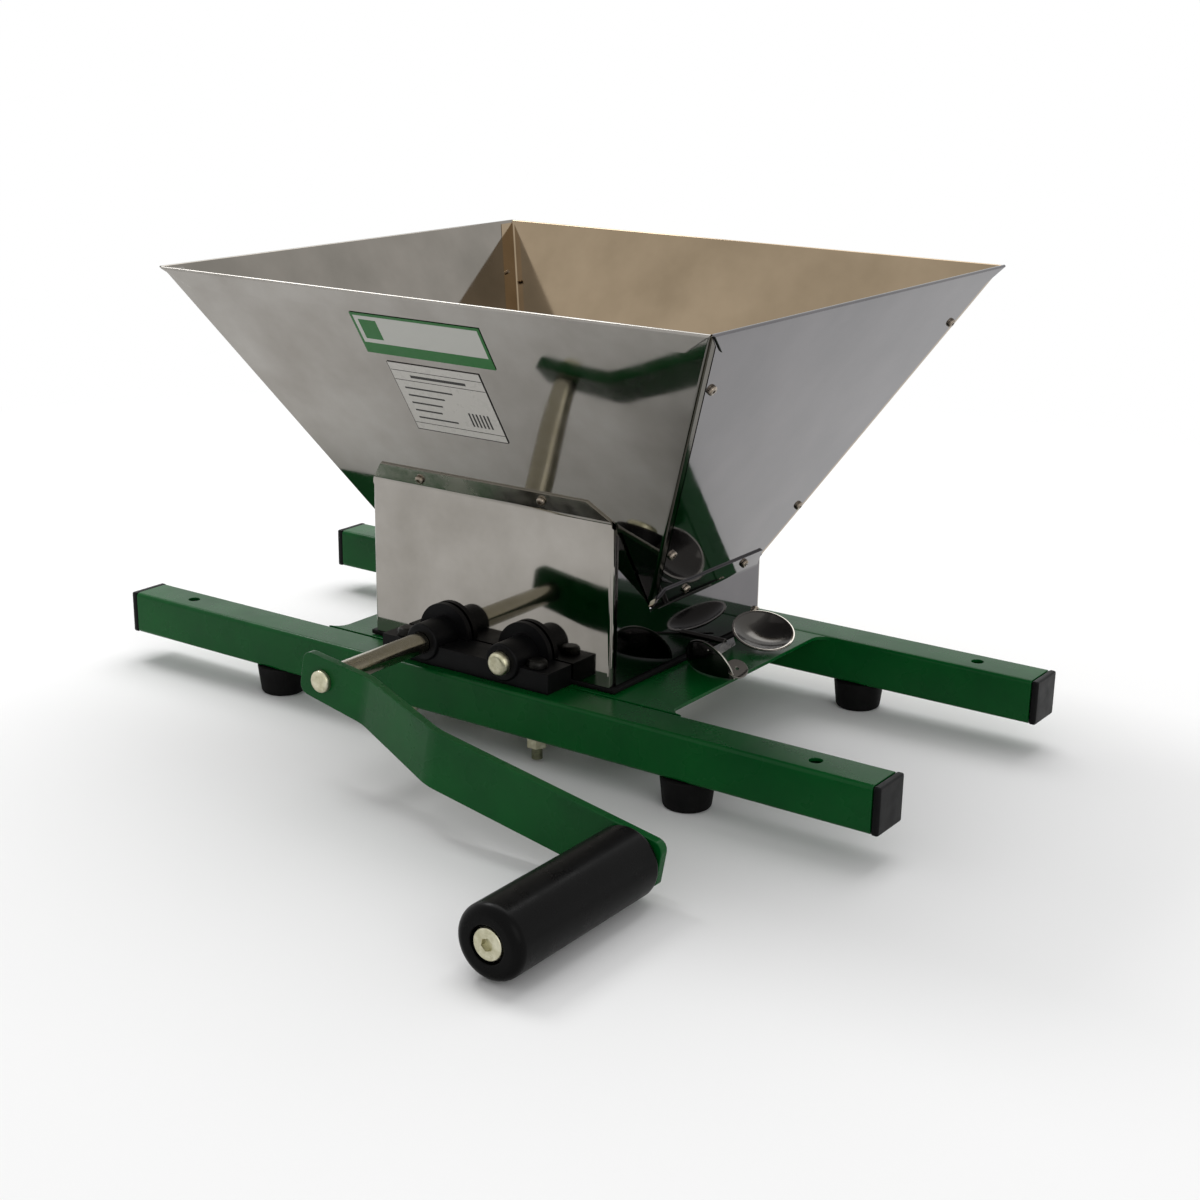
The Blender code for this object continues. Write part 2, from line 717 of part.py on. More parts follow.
def build_hopper(machine, sides):
    """Four panels with hemmed rims; front and rear wrap round the other two."""
    for index, side in enumerate(sides):
        previous = sides[index - 1]
        following = sides[(index + 1) % len(sides)]
        outline = panel_outline(side, previous, following, THROAT_Z, RIM_Z)
        panel = sheet([outline], SHEET, side.frame(-SHEET / 2))
        as_piece(panel, f"hopper_{side.name}", STAINLESS, machine)
        hem_low = RIM_Z - HEM_WIDTH / side.stretch
        hem_high = RIM_Z - GAP
        outline = panel_outline(side, previous, following, hem_low, hem_high, HEM_WIDTH, SEAM_GAP)
        hem = sheet([outline], HEM_THICKNESS, side.frame(SHEET - HEM_THICKNESS / 2))
        join(panel, hem, "hem")
        if side.name in ("front", "rear"):
            for carrier, sign in ((previous, 1.0), (following, -1.0)):
                fold = fold_height(carrier, HOUSING_HALF_WIDTH)
                low = fold + (FLANGE_LENGTH + HEM_WIDTH / 2) / carrier.stretch
                high = RIM_Z - (HEM_WIDTH + SHEET) / carrier.stretch
                outline = [(sign * across, up) for across, up in seam_outline(side, carrier, low, high)]
                flange = sheet([outline], SHEET, carrier.frame(GAP + SHEET / 2))
                join(panel, flange, f"seam_{carrier.name}")


# Bearings

def build_brackets(machine):
    """Moulded brackets on the rails, with round lobes and saddles for the bushes."""
    for line, sign in LINES:
        low, high = sorted((sign * (BRACKET_INNER_FACE + GAP), sign * BRACKET_OUTER_FACE))
        floor = RAIL_TOP + GAP
        top = RAIL_TOP + BRACKET_HEIGHT
        block = box((-BRACKET_HALF_LENGTH, low, floor), (BRACKET_HALF_LENGTH, high, top))
        as_piece(block, f"{line}_bearing_bracket", BLACK_PLASTIC, machine)
        round_edges(block, BRACKET_EDGE)
        middle = sign * (BRACKET_INNER_FACE + LOBE_THICKNESS / 2)
        for name, x in (("drive", -SHAFT_LINE), ("driven", SHAFT_LINE)):
            base = floor + BRACKET_EDGE / 2
            outline = arc((x, SHAFT_Z), LOBE_RADIUS, 0.0, 180.0, ROUND_SIDES // 2)
            outline += [(x - LOBE_RADIUS, base), (x + LOBE_RADIUS, base)]
            lobe = sheet([outline], LOBE_THICKNESS, upright_frame((0.0, -1.0, 0.0), -middle))
            join(block, lobe, f"lobe_{name}")
            near = sign * (BRACKET_INNER_FACE - CUT_OVERRUN)
            far = sign * (BRACKET_OUTER_FACE + CUT_OVERRUN)
            bore = rod(BUSH_RADIUS + GAP, (x, near, SHAFT_Z), (x, far, SHAFT_Z))
            cut(block, bore, f"bore_{name}")
        for end, side in ENDS:
            place = (side * BRACKET_BOLT_OFFSET, sign * BRACKET_BOLT_LINE)
            radius = BOLT_RADIUS + GAP
            cut(block, drill(place, radius, RAIL_TOP, RAIL_TOP + BRACKET_HEIGHT), f"bolt_{end}")


def build_bushes(machine):
    """Sleeves that the shafts turn in, with a narrow neck through the housing wall."""
    bore = SHAFT_RADIUS + GAP
    profile = [(bore, BUSH_OUTER_END), (BUSH_RADIUS, BUSH_OUTER_END),
               (BUSH_RADIUS, BRACKET_INNER_FACE), (BUSH_NECK_RADIUS, BRACKET_INNER_FACE),
               (BUSH_NECK_RADIUS, BUSH_INNER_END), (bore, BUSH_INNER_END), (bore, BUSH_OUTER_END)]
    for line, turn in (("front", ALONG_Y), ("rear", AGAINST_Y)):
        for name, x in (("drive", -SHAFT_LINE), ("driven", SHAFT_LINE)):
            bush = turned(profile, Matrix.Translation((x, 0.0, SHAFT_Z)) @ turn)
            as_piece(bush, f"{name}_bush_{line}", BLACK_PLASTIC, machine)


def build_bracket_bolts(machine):
    """Bolts down through brackets and rails, with hexagon nuts under the rails."""
    head_base = RAIL_TOP + BRACKET_HEIGHT + GAP
    tip = FOOT_HEIGHT - NUT_HEIGHT - BOLT_TIP_LENGTH
    profile = screw_profile(BOLT_HEAD_RADIUS, head_base, BOLT_HEAD_HEIGHT, tip)
    for line, sign in LINES:
        for end, side in ENDS:
            x, y = side * BRACKET_BOLT_OFFSET, sign * BRACKET_BOLT_LINE
            bolt = turned(profile, Matrix.Translation((x, y, 0.0)), SMALL_SIDES)
            as_piece(bolt, f"{line}_bracket_bolt_{end}", ZINC, machine)
            middle = FOOT_HEIGHT - GAP - NUT_HEIGHT / 2
            outlines = [polygon(6, NUT_FLATS), circle((0.0, 0.0), BOLT_RADIUS + GAP)]
            nut = sheet(outlines, NUT_HEIGHT, Matrix.Translation((x, y, middle)))
            as_piece(nut, f"{line}_bracket_nut_{end}", ZINC, machine)


# Rollers, gears and shafts

def roller_outline(phase):
    """Lobed outline of a roller, swelling and narrowing evenly round its axis."""
    points = []
    count = ROLLER_LOBES * LOBE_POINTS
    for index in range(count):
        angle = 2 * math.pi * index / count
        radius = ROLLER_MEAN_RADIUS + ROLLER_LOBE_HEIGHT * math.cos(ROLLER_LOBES * angle + phase)
        points.append((radius * math.cos(angle), radius * math.sin(angle)))
    return points


def gear_outline(turned_by):
    """Involute outline of a gear whose pitch radius is half the shaft spacing."""
    module = SHAFT_SPACING / GEAR_TEETH
    pitch = SHAFT_SPACING / 2
    base = pitch * math.cos(PRESSURE_ANGLE)
    tip = pitch + module * ADDENDUM_SHARE
    root = pitch - module * DEDENDUM_SHARE
    half_pitch = math.pi / 2 / GEAR_TEETH - GEAR_BACKLASH / 4 / pitch
    pitch_bend = math.tan(PRESSURE_ANGLE) - PRESSURE_ANGLE
    flank = []
    for index in range(FLANK_POINTS):
        radius = base + (tip - base) * index / (FLANK_POINTS - 1)
        lean = math.acos(min(1.0, base / radius))
        flank.append((radius, half_pitch + pitch_bend - (math.tan(lean) - lean)))
    flank.insert(0, (root, flank[0][1]))
    points = []
    for tooth in range(GEAR_TEETH):
        centre = 2 * math.pi * tooth / GEAR_TEETH + turned_by
        for radius, spread in flank:
            points.append((radius * math.cos(centre - spread), radius * math.sin(centre - spread)))
        for radius, spread in reversed(flank):
            points.append((radius * math.cos(centre + spread), radius * math.sin(centre + spread)))
    return points


def cross_hole(radius, y, reach):
    """A hole through a shaft and what sits on it, square to the shaft."""
    return rod(radius, (0.0, y, -reach), (0.0, y, reach), SMALL_SIDES)


def build_roller_set(name, axis, phase, gear_turn):
    """One roller and one gear, pinned to their shaft."""
    bore = circle((0.0, 0.0), SHAFT_RADIUS + GAP)
    length = ROLLER_FRONT + ROLLER_BACK
    middle = (ROLLER_BACK - ROLLER_FRONT) / 2
    place = Matrix.Translation((0.0, middle, 0.0)) @ ALONG_Y
    roller = sheet([roller_outline(phase), bore], length, place)
    as_piece(roller, f"{name}_roller", NYLON, axis)
    hole = PIN_RADIUS + GAP
    reach = ROLLER_TIP_RADIUS + CUT_OVERRUN
    cut(roller, cross_hole(hole, middle, reach), "pin_hole")

    gear_back = GEAR_FRONT - GEAR_WIDTH
    place = Matrix.Translation((0.0, -(GEAR_FRONT + gear_back) / 2, 0.0)) @ ALONG_Y
    gear = sheet([gear_outline(gear_turn), bore], GEAR_WIDTH, place)
    as_piece(gear, f"{name}_gear", STEEL, axis)
    hub_end = gear_back - GEAR_HUB_LENGTH
    hub_length = GEAR_HUB_LENGTH + GEAR_WIDTH / 2
    place = Matrix.Translation((0.0, -(hub_end + hub_length / 2), 0.0)) @ ALONG_Y
    hub = sheet([circle((0.0, 0.0), GEAR_HUB_RADIUS, ROUND_SIDES), bore], hub_length, place)
    join(gear, hub, "hub")
    pin_line = -(hub_end + GEAR_HUB_LENGTH / 2)
    cut(gear, cross_hole(hole, pin_line, GEAR_HUB_RADIUS + CUT_OVERRUN), "pin_hole")

    pin_reach = ROLLER_MEAN_RADIUS - ROLLER_LOBE_HEIGHT - GAP
    roller_pin = rod(PIN_RADIUS, (0.0, middle, -pin_reach), (0.0, middle, pin_reach), SMALL_SIDES)
    as_piece(roller_pin, f"{name}_roller_pin", STEEL, axis)
    pin_reach = GEAR_HUB_RADIUS - GAP
    gear_pin = rod(PIN_RADIUS, (0.0, pin_line, -pin_reach), (0.0, pin_line, pin_reach), SMALL_SIDES)
    as_piece(gear_pin, f"{name}_gear_pin", STEEL, axis)
    return middle, pin_line


def build_shaft(name, axis, front_end, pin_lines):
    """A shaft with tapped ends and two cross holes."""
    shaft = rod(SHAFT_RADIUS, (0.0, -front_end, 0.0), (0.0, SHAFT_BACK_END, 0.0))
    as_piece(shaft, f"{name}_shaft", STEEL, axis)
    for tag, line in zip(("roller", "gear"), pin_lines):
        cut(shaft, cross_hole(PIN_RADIUS + GAP, line, SHAFT_RADIUS + CUT_OVERRUN), f"{tag}_hole")
    return shaft


def end_screw(name, axis, end, direction):
    """A domed screw that keeps a shaft in its bush; direction is -1 at the front."""
    turn = ALONG_Y if direction < 0.0 else AGAINST_Y
    profile = screw_profile(END_SCREW_HEAD_RADIUS, end + GAP, END_SCREW_HEAD_HEIGHT, end - END_SCREW_LENGTH)
    as_piece(turned(profile, turn), name, ZINC, axis)


def tap(shaft, end, direction, length, tag):
    """The tapped hole in a shaft's end."""
    deep = direction * (end - length - GAP)
    out = direction * (end + CUT_OVERRUN)
    cut(shaft, rod(BOLT_RADIUS + GAP, (0.0, deep, 0.0), (0.0, out, 0.0), SMALL_SIDES), tag)


def build_drive(drive_axis, driven_axis):
    """Both shafts with their rollers, gears, pins and end screws."""
    lines = build_roller_set("drive", drive_axis, CRANK_ANGLE * ROLLER_LOBES, CRANK_ANGLE)
    half_tooth = math.pi / GEAR_TEETH
    build_roller_set("driven", driven_axis, math.pi, half_tooth)

    shaft_end = ARM_INNER_FACE - ARM_THICKNESS - GAP
    drive = build_shaft("drive", drive_axis, shaft_end, lines)
    half = TENON_SIDE / 2
    tenon_end = ARM_INNER_FACE - GAP
    tenon = box((-half, -tenon_end, -half), (half, -shaft_end + CUT_OVERRUN, half))
    join(drive, tenon, "tenon")
    tap(drive, tenon_end, -1.0, CRANK_BOLT_LENGTH, "front_tap")
    tap(drive, SHAFT_BACK_END, 1.0, END_SCREW_LENGTH, "rear_tap")
    end_screw("drive_end_screw_rear", drive_axis, SHAFT_BACK_END, 1.0)

    driven = build_shaft("driven", driven_axis, BUSH_OUTER_END, lines)
    tap(driven, BUSH_OUTER_END, -1.0, END_SCREW_LENGTH, "front_tap")
    tap(driven, SHAFT_BACK_END, 1.0, END_SCREW_LENGTH, "rear_tap")
    end_screw("driven_end_screw_front", driven_axis, BUSH_OUTER_END, -1.0)
    end_screw("driven_end_screw_rear", driven_axis, SHAFT_BACK_END, 1.0)


def build_guards(machine, sides):
    """The guard behind the gears and the plates that lead fruit onto the rollers."""
    front = sides[0]
    half = HOUSING_HALF_WIDTH - SHEET - GAP
    low = RAIL_TOP + GAP
    high = front.height(GUARD_REAR_FACE) - 2 * GAP
    hole = SHAFT_RADIUS + 2 * GAP
    foot = HOUSING_HALF_WIDTH + GASKET_LIP - GASKET_WIDTH - GAP
    step = low + GASKET_HEIGHT
    outlines = [[(-foot, low), (foot, low), (foot, step), (half, step), (half, high),
                 (-half, high), (-half, step), (-foot, step)]]
    for offset in (-SHAFT_LINE, SHAFT_LINE):
        outlines.append(circle((offset, SHAFT_Z), hole))
    frame = upright_frame((0.0, -1.0, 0.0), GUARD_REAR_FACE + SHEET / 2)
    as_piece(sheet(outlines, SHEET, frame), "gear_guard", STAINLESS, machine)

    high_z = THROAT_Z - 2 * SHEET
    low_z = RAIL_TOP + GUIDE_LOW_HEIGHT
    high_reach = half - SHEET
    rise = math.hypot(high_reach - GUIDE_LOW_REACH, high_z - low_z)
    front_end = GUARD_REAR_FACE - GAP
    back_end = HOUSING_HALF_DEPTH - SHEET - GAP
    for end, side in ENDS:
        outward = Vector((side, 0.0, 0.0))
        low_point = outward * GUIDE_LOW_REACH + Vector((0.0, 0.0, low_z))
        high_point = outward * high_reach + Vector((0.0, 0.0, high_z))
        climb = (high_point - low_point) / rise
        along = Vector((0.0, 1.0, 0.0))
        normal = along.cross(climb)
        frame = basis(along, climb, normal, low_point)
        outline = [(-front_end, 0.0), (back_end, 0.0), (back_end, rise), (-front_end, rise)]
        as_piece(sheet([outline], SHEET, frame), f"side_guide_{end}", STAINLESS, machine)


# Crank

def build_arm(axis):
    """A flat bar with a joggle: its edge profile kept where its outline allows."""
    end = CRANK_RADIUS + ARM_NOSE
    front, thick = ARM_INNER_FACE, ARM_THICKNESS
    run = ARM_SECOND_BEND - ARM_FIRST_BEND
    shift = thick * (math.hypot(run, ARM_JOGGLE) - run) / ARM_JOGGLE
    tail = -ARM_TAIL - CUT_OVERRUN
    nose = end + CUT_OVERRUN
    far = front + ARM_JOGGLE
    profile = [(tail, front), (ARM_FIRST_BEND, front), (ARM_SECOND_BEND, far), (nose, far),
               (nose, far - thick), (ARM_SECOND_BEND + shift, far - thick),
               (ARM_FIRST_BEND + shift, front - thick), (tail, front - thick)]
    lie_flat = basis(Vector((1.0, 0.0, 0.0)), Vector((0.0, -1.0, 0.0)),
                     Vector((0.0, 0.0, -1.0)), Vector((0.0, 0.0, 0.0)))
    arm = sheet([profile], 4 * ARM_OUTER_HALF_WIDTH, lie_flat)
    as_piece(arm, "crank_arm", GREEN, axis)

    radius = ARM_CORNER_RADIUS
    outline = (arc((radius - ARM_TAIL, ARM_TAIL_HALF_WIDTH - radius), radius, 90.0, 180.0)
               + arc((radius - ARM_TAIL, radius - ARM_TAIL_HALF_WIDTH), radius, 180.0, 270.0)
               + [(ARM_FIRST_BEND, -ARM_BEND_HALF_WIDTH), (ARM_SECOND_BEND, -ARM_OUTER_HALF_WIDTH),
                  (end - ARM_CHAMFER, -ARM_OUTER_HALF_WIDTH), (end, ARM_CHAMFER - ARM_OUTER_HALF_WIDTH)]
               + arc((end - radius, ARM_OUTER_HALF_WIDTH - radius), radius, 0.0, 90.0)
               + [(ARM_SECOND_BEND, ARM_OUTER_HALF_WIDTH), (ARM_FIRST_BEND, ARM_BEND_HALF_WIDTH)])
    axle_hole = circle((CRANK_RADIUS, 0.0), AXLE_RADIUS + GAP)
    half = TENON_SIDE / 2 + GAP
    square = [(-half, -half), (half, -half), (half, half), (-half, half)]
    depth = ARM_JOGGLE + 2 * ARM_THICKNESS
    middle = ARM_INNER_FACE + ARM_JOGGLE / 2
    blank = sheet([outline, square, axle_hole], 2 * depth, upright_frame((0.0, -1.0, 0.0), middle))
    combine(arm, blank, "INTERSECT", "blank")


def build_crank_bolt(axis):
    """The domed bolt that holds the arm on the drive shaft."""
    end = ARM_INNER_FACE - CRANK_BOLT_LENGTH
    profile = screw_profile(CRANK_BOLT_HEAD_RADIUS, ARM_INNER_FACE + GAP, CRANK_BOLT_HEAD_HEIGHT, end)
    as_piece(turned(profile, ALONG_Y), "crank_bolt", ZINC, axis)


def build_grip(grip_axis, crank_axis):
    """The turning grip, the socket screw it turns on, and its nut behind the arm."""
    bore = AXLE_RADIUS + GAP
    outer, inner, edge = GRIP_OUTER_END, GRIP_INNER_END, GRIP_EDGE_RADIUS
    recess = outer - GRIP_RECESS_DEPTH
    rounding = arc((GRIP_RADIUS - edge, outer - edge), edge, 90.0, 0.0)
    profile = ([(bore, recess), (GRIP_RECESS_RADIUS, recess), (GRIP_RECESS_RADIUS, outer)]
               + rounding
               + [(GRIP_RADIUS, inner + edge / 2), (GRIP_RADIUS - edge / 2, inner), (bore, inner),
                  (bore, recess)])
    as_piece(turned(profile, ALONG_Y), "grip", BLACK_PLASTIC, grip_axis)

    offset = Matrix.Translation((CRANK_RADIUS, 0.0, 0.0))
    head_base = recess + GAP
    head_top = outer - GAP
    nut_back = ARM_INNER_FACE + ARM_JOGGLE - ARM_THICKNESS - GAP - AXLE_NUT_HEIGHT
    profile = [(0.0, head_top),
               (AXLE_HEAD_RADIUS - 2 * GAP, head_top),
               (AXLE_HEAD_RADIUS, head_top - 2 * GAP),
               (AXLE_HEAD_RADIUS, head_base),
               (AXLE_RADIUS, head_base),
               (AXLE_RADIUS, nut_back - GAP),
               (0.0, nut_back - GAP)]
    axle = turned(profile, offset @ ALONG_Y)
    as_piece(axle, "grip_axle", ZINC, crank_axis)
    depth = head_top - head_base
    frame = upright_frame((0.0, -1.0, 0.0), head_top)
    socket = sheet([polygon(6, AXLE_SOCKET_FLATS)], depth, offset @ frame)
    cut(axle, socket, "socket")

    middle = nut_back + AXLE_NUT_HEIGHT / 2
    outlines = [polygon(6, AXLE_NUT_FLATS), circle((0.0, 0.0), AXLE_RADIUS + GAP)]
    nut = sheet(outlines, AXLE_NUT_HEIGHT, offset @ upright_frame((0.0, -1.0, 0.0), middle))
    as_piece(nut, "grip_axle_nut", ZINC, crank_axis)


# Pull latch

def leaf_profile():
    """Cross-section of a dished leaf, from the middle of its hollow round its rim."""
    bowl = (LATCH_LEAF_RADIUS ** 2 + LATCH_LEAF_DEPTH ** 2) / 2 / LATCH_LEAF_DEPTH
    spread = math.degrees(math.asin(LATCH_LEAF_RADIUS / bowl))
    hollow = arc((0.0, bowl), bowl - SHEET, -90.0, spread - 90.0, LEAF_RINGS)
    back = arc((0.0, bowl), bowl, spread - 90.0, -90.0, LEAF_RINGS)
    return hollow + back


def build_latch(machine, latch_axis):
    """A pin through the housing wall and a lug, pulled out by a two-leaf grip."""
    outer = HOUSING_HALF_WIDTH + LATCH_REACH
    lug_face = HOUSING_HALF_WIDTH - SHEET - LUG_SETBACK
    tip = lug_face - LUG_THICKNESS - LATCH_TIP_LENGTH
    along_x = Matrix.Rotation(math.radians(90.0), 4, "Y")
    start = Matrix.Translation((-HOUSING_HALF_WIDTH, 0.0, 0.0))
    head_base = outer + LATCH_BAR_THICKNESS + GAP
    collar_top = outer - GAP
    collar_base = HOUSING_HALF_WIDTH + GAP
    profile = (dome(LATCH_HEAD_RADIUS, head_base, LATCH_HEAD_HEIGHT)
               + [(LATCH_PIN_RADIUS, head_base),
                  (LATCH_PIN_RADIUS, collar_top),
                  (LATCH_HEAD_RADIUS, collar_top),
                  (LATCH_HEAD_RADIUS, collar_base),
                  (LATCH_PIN_RADIUS, collar_base),
                  (LATCH_PIN_RADIUS, tip),
                  (0.0, tip)])
    pin = turned(profile, start @ along_x, SMALL_SIDES)
    as_piece(pin, "latch_pin", STEEL, latch_axis)

    half_width, half_length = LATCH_BAR_WIDTH / 2, LATCH_LEAF_SPACING / 2
    reach = half_length - LATCH_LEAF_RADIUS / 2
    outline = [(-reach, -half_width), (reach, -half_width), (reach, half_width), (-reach, half_width)]
    hole = circle((0.0, 0.0), LATCH_PIN_RADIUS + GAP)
    middle = LATCH_REACH + LATCH_BAR_THICKNESS / 2
    bar = sheet([outline, hole], LATCH_BAR_THICKNESS, upright_frame((1.0, 0.0, 0.0), middle))
    as_piece(bar, "latch_grip", STAINLESS, latch_axis)
    for name, sign in (("rear", 1.0), ("front", -1.0)):
        tilt = math.radians(90.0) - sign * (math.radians(90.0) - LATCH_LEAF_TILT)
        seat = Matrix.Translation((middle, sign * half_length, 0.0)) @ Matrix.Rotation(tilt, 4, "Y")
        sink = Matrix.Translation((0.0, 0.0, -LATCH_LEAF_DEPTH / 2))
        leaf = turned(leaf_profile(), seat @ sink, ROUND_SIDES)
        join(bar, leaf, f"leaf_{name}")

    half = LUG_WIDTH / 2
    low = RAIL_TOP + GAP
    back = lug_face - LUG_THICKNESS
    height = low + LATCH_HEIGHT + 2 * LATCH_PIN_RADIUS + LUG_THICKNESS
    lug = box((back, LATCH_BACK - half, low), (lug_face, LATCH_BACK + half, height))
    as_piece(lug, "latch_lug", GREEN, machine)
    foot = box((back - LUG_FOOT_LENGTH, LATCH_BACK - half + GAP, low + GAP / 2),
               (back + LUG_THICKNESS / 2, LATCH_BACK + half - GAP, low + LUG_THICKNESS))
    join(lug, foot, "foot")
    z = RAIL_TOP + LATCH_HEIGHT
    bore = rod(LATCH_PIN_RADIUS + GAP, (back - CUT_OVERRUN, LATCH_BACK, z),
               (lug_face + CUT_OVERRUN, LATCH_BACK, z), SMALL_SIDES)
    cut(lug, bore, "bore")


def machine_shift(sides):
    """How far the machine moves so that its box is centred over the origin."""
    rear = sides[2]
    climb = rear.climb(RIM_Z - GAP)
    back = rear.throat + (climb * rear.slope + SHEET) / rear.stretch
    return Vector((0.0, (GRIP_OUTER_END - back) / 2, 0.0))


def main():
    """Build the whole machine."""
    sides = hopper_sides()
    machine = empty("machine", None, Matrix.Translation(machine_shift(sides)))
    drive_place = Matrix.Translation((-SHAFT_LINE, 0.0, SHAFT_Z))
    drive_axis = empty("crank_axis", machine, drive_place @ Matrix.Rotation(CRANK_ANGLE, 4, "Y"))
    driven_axis = empty("driven_axis", machine, Matrix.Translation((SHAFT_LINE, 0.0, SHAFT_Z)))
    grip_axis = empty("grip_axis", drive_axis, Matrix.Translation((CRANK_RADIUS, 0.0, 0.0)))
    latch_place = (HOUSING_HALF_WIDTH, LATCH_BACK, RAIL_TOP + LATCH_HEIGHT)
    latch_axis = empty("latch_axis", machine, Matrix.Translation(latch_place))

    build_rails(machine)
    build_caps(machine)
    build_feet(machine)
    build_base_plate(machine)
    build_gasket(machine)
    build_housing(machine, sides)
    build_hopper(machine, sides)
    build_brackets(machine)
    build_bushes(machine)
    build_bracket_bolts(machine)
    build_drive(drive_axis, driven_axis)
    build_guards(machine, sides)
    build_arm(drive_axis)
    build_crank_bolt(drive_axis)
    build_grip(grip_axis, drive_axis)
    build_latch(machine, latch_axis)
    bpy.context.view_layer.update()


clear_scene()
PIECES = new_collection("grape_crusher")
TOOLS = new_collection("cutters")
main()
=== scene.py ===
"""Look scene of a hand cranked grape crusher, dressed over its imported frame.

Sheet metal, crank, bearings, feet and latch are modelled afresh over the frame's nodes, and
the plainer nodes are taken over with their edges welded and softened. Lengths are in metres
in the machine's own frame: X along the rails, Y from the crank to the back, Z up from the
floor. MIDDLE is where that frame's origin lies in the world.
"""

import json
import logging
import math
from contextlib import contextmanager
from dataclasses import dataclass
from enum import Enum
from functools import cache
from typing import Any, Callable, Iterator

import bmesh
import bpy
from bmesh.types import BMEdge
from bpy.types import Material, Node, NodeSocket, NodeTree, Object
from mathutils import Matrix, Vector

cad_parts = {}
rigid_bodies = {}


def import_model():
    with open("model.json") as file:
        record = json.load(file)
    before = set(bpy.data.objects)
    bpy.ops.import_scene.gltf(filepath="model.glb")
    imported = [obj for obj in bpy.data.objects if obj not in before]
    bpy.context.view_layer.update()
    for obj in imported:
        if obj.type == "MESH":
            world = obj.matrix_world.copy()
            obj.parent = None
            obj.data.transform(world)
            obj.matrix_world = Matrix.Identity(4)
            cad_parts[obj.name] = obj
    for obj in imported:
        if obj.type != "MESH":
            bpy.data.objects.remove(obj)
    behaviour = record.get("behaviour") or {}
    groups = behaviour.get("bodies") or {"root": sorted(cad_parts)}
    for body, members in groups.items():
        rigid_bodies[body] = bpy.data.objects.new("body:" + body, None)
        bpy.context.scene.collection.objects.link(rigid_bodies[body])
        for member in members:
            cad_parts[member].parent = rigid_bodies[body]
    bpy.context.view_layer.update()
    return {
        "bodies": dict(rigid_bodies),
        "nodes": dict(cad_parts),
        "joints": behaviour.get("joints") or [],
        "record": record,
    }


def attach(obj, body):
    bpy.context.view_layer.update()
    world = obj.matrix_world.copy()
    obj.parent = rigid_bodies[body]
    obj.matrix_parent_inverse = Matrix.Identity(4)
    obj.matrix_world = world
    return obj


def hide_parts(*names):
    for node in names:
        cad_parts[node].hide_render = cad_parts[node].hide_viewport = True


log = logging.getLogger("grape_crusher")

MIDDLE = Vector((0.0, 0.071035, 0.0))
RIGHTWARD = Vector((1.0, 0.0, 0.0))
BACKWARD = Vector((0.0, 1.0, 0.0))
UP = Vector((0.0, 0.0, 1.0))
# Turns of an upright piece: its top to the front, to the back and to the right.
ALONG_Y = Matrix.Rotation(math.radians(90.0), 4, "X")
AGAINST_Y = Matrix.Rotation(math.radians(-90.0), 4, "X")
ALONG_X = Matrix.Rotation(math.radians(90.0), 4, "Y")

# Thickness of the sheet metal, and heights of the rails' tops and of the hopper's lower and
# upper edges.
SHEET = 0.001
RAIL_TOP = 0.042
THROAT_Z = 0.0825
RIM_Z = 0.2504
# Height of both shafts, how far each lies from the middle, and how far the arm hangs at rest.
SHAFT_Z = 0.0546
SHAFT_LINE = 0.0275
CRANK_ANGLE = math.radians(9.9)

# Places within SAME of each other count as one, and an edge is picked by its middle within NEAR.
SAME = 0.00002
NEAR = 0.0005
# An edge whose run along Z is below the first is level, and above the second steep. A face
# whose normal's Z is above the third is an end face.
LEVEL = 0.01
STEEP = 0.3
FLAT = 0.9


class Pick(Enum):
    """What an edit mode selection is made of."""

    CORNERS = "VERT"
    EDGES = "EDGE"
    FACES = "FACE"


class Body(Enum):
    """The bodies of the frame that pieces ride on."""

    FRAME = "frame"
    CRANK = "crank"
    DRIVEN = "driven"
    HANDLE = "handle"
    LATCH = "latch"


# Working in edit mode


def hold(item: Object) -> None:
    """Select one object alone and make it active.

    Args:
        item: the object to hold.
    """
    bpy.ops.object.select_all(action="DESELECT")
    item.select_set(True)
    bpy.context.view_layer.objects.active = item


def settle(item: Object) -> Object:
    """Put an object's place, turn and scale into its mesh.

    Args:
        item: the object.

    Returns:
        The same object.
    """
    hold(item)
    bpy.ops.object.transform_apply(location=True, rotation=True, scale=True)
    return item


@contextmanager
def editing(item: Object) -> Iterator[Object]:
    """Keep one object in edit mode, at first with nothing in it selected.

    Args:
        item: the object to edit.
    """
    hold(item)
    bpy.ops.object.mode_set(mode="EDIT")
    bpy.ops.mesh.select_all(action="DESELECT")
    yield item
    bpy.ops.object.mode_set(mode="OBJECT")


def pick(item: Object, kind: Pick, test: Callable[[Any], bool]) -> None:
    """Select the corners, edges or faces of the edited mesh that pass a test.

    Args:
        item: the object in edit mode.
        kind: what is selected.
        test: called with each corner, edge or face.
    """
    bpy.ops.mesh.select_mode(type=kind.value)
    bpy.ops.mesh.select_all(action="DESELECT")
    mesh = bmesh.from_edit_mesh(item.data)
    groups = {Pick.CORNERS: mesh.verts, Pick.EDGES: mesh.edges, Pick.FACES: mesh.faces}
    found = [element for element in groups[kind] if test(element)]
    if not found:
        raise ValueError(f"nothing to pick on {item.name}")
    for element in found:
        element.select_set(True)
    mesh.select_flush_mode()
    bmesh.update_edit_mesh(item.data)


def middle(edge: BMEdge) -> Vector:
    """Middle point of an edge."""
    return (edge.verts[0].co + edge.verts[1].co) / 2


def run(edge: BMEdge, axis: Vector) -> float:
    """How nearly an edge runs along an axis, from 0 for square to it to 1."""
    return abs((edge.verts[0].co - edge.verts[1].co).normalized().dot(axis))


def edge_at(place: Vector) -> Callable[[Any], bool]:
    """A test for the edge whose middle lies at a place."""
    return lambda edge: (middle(edge) - place).length < NEAR


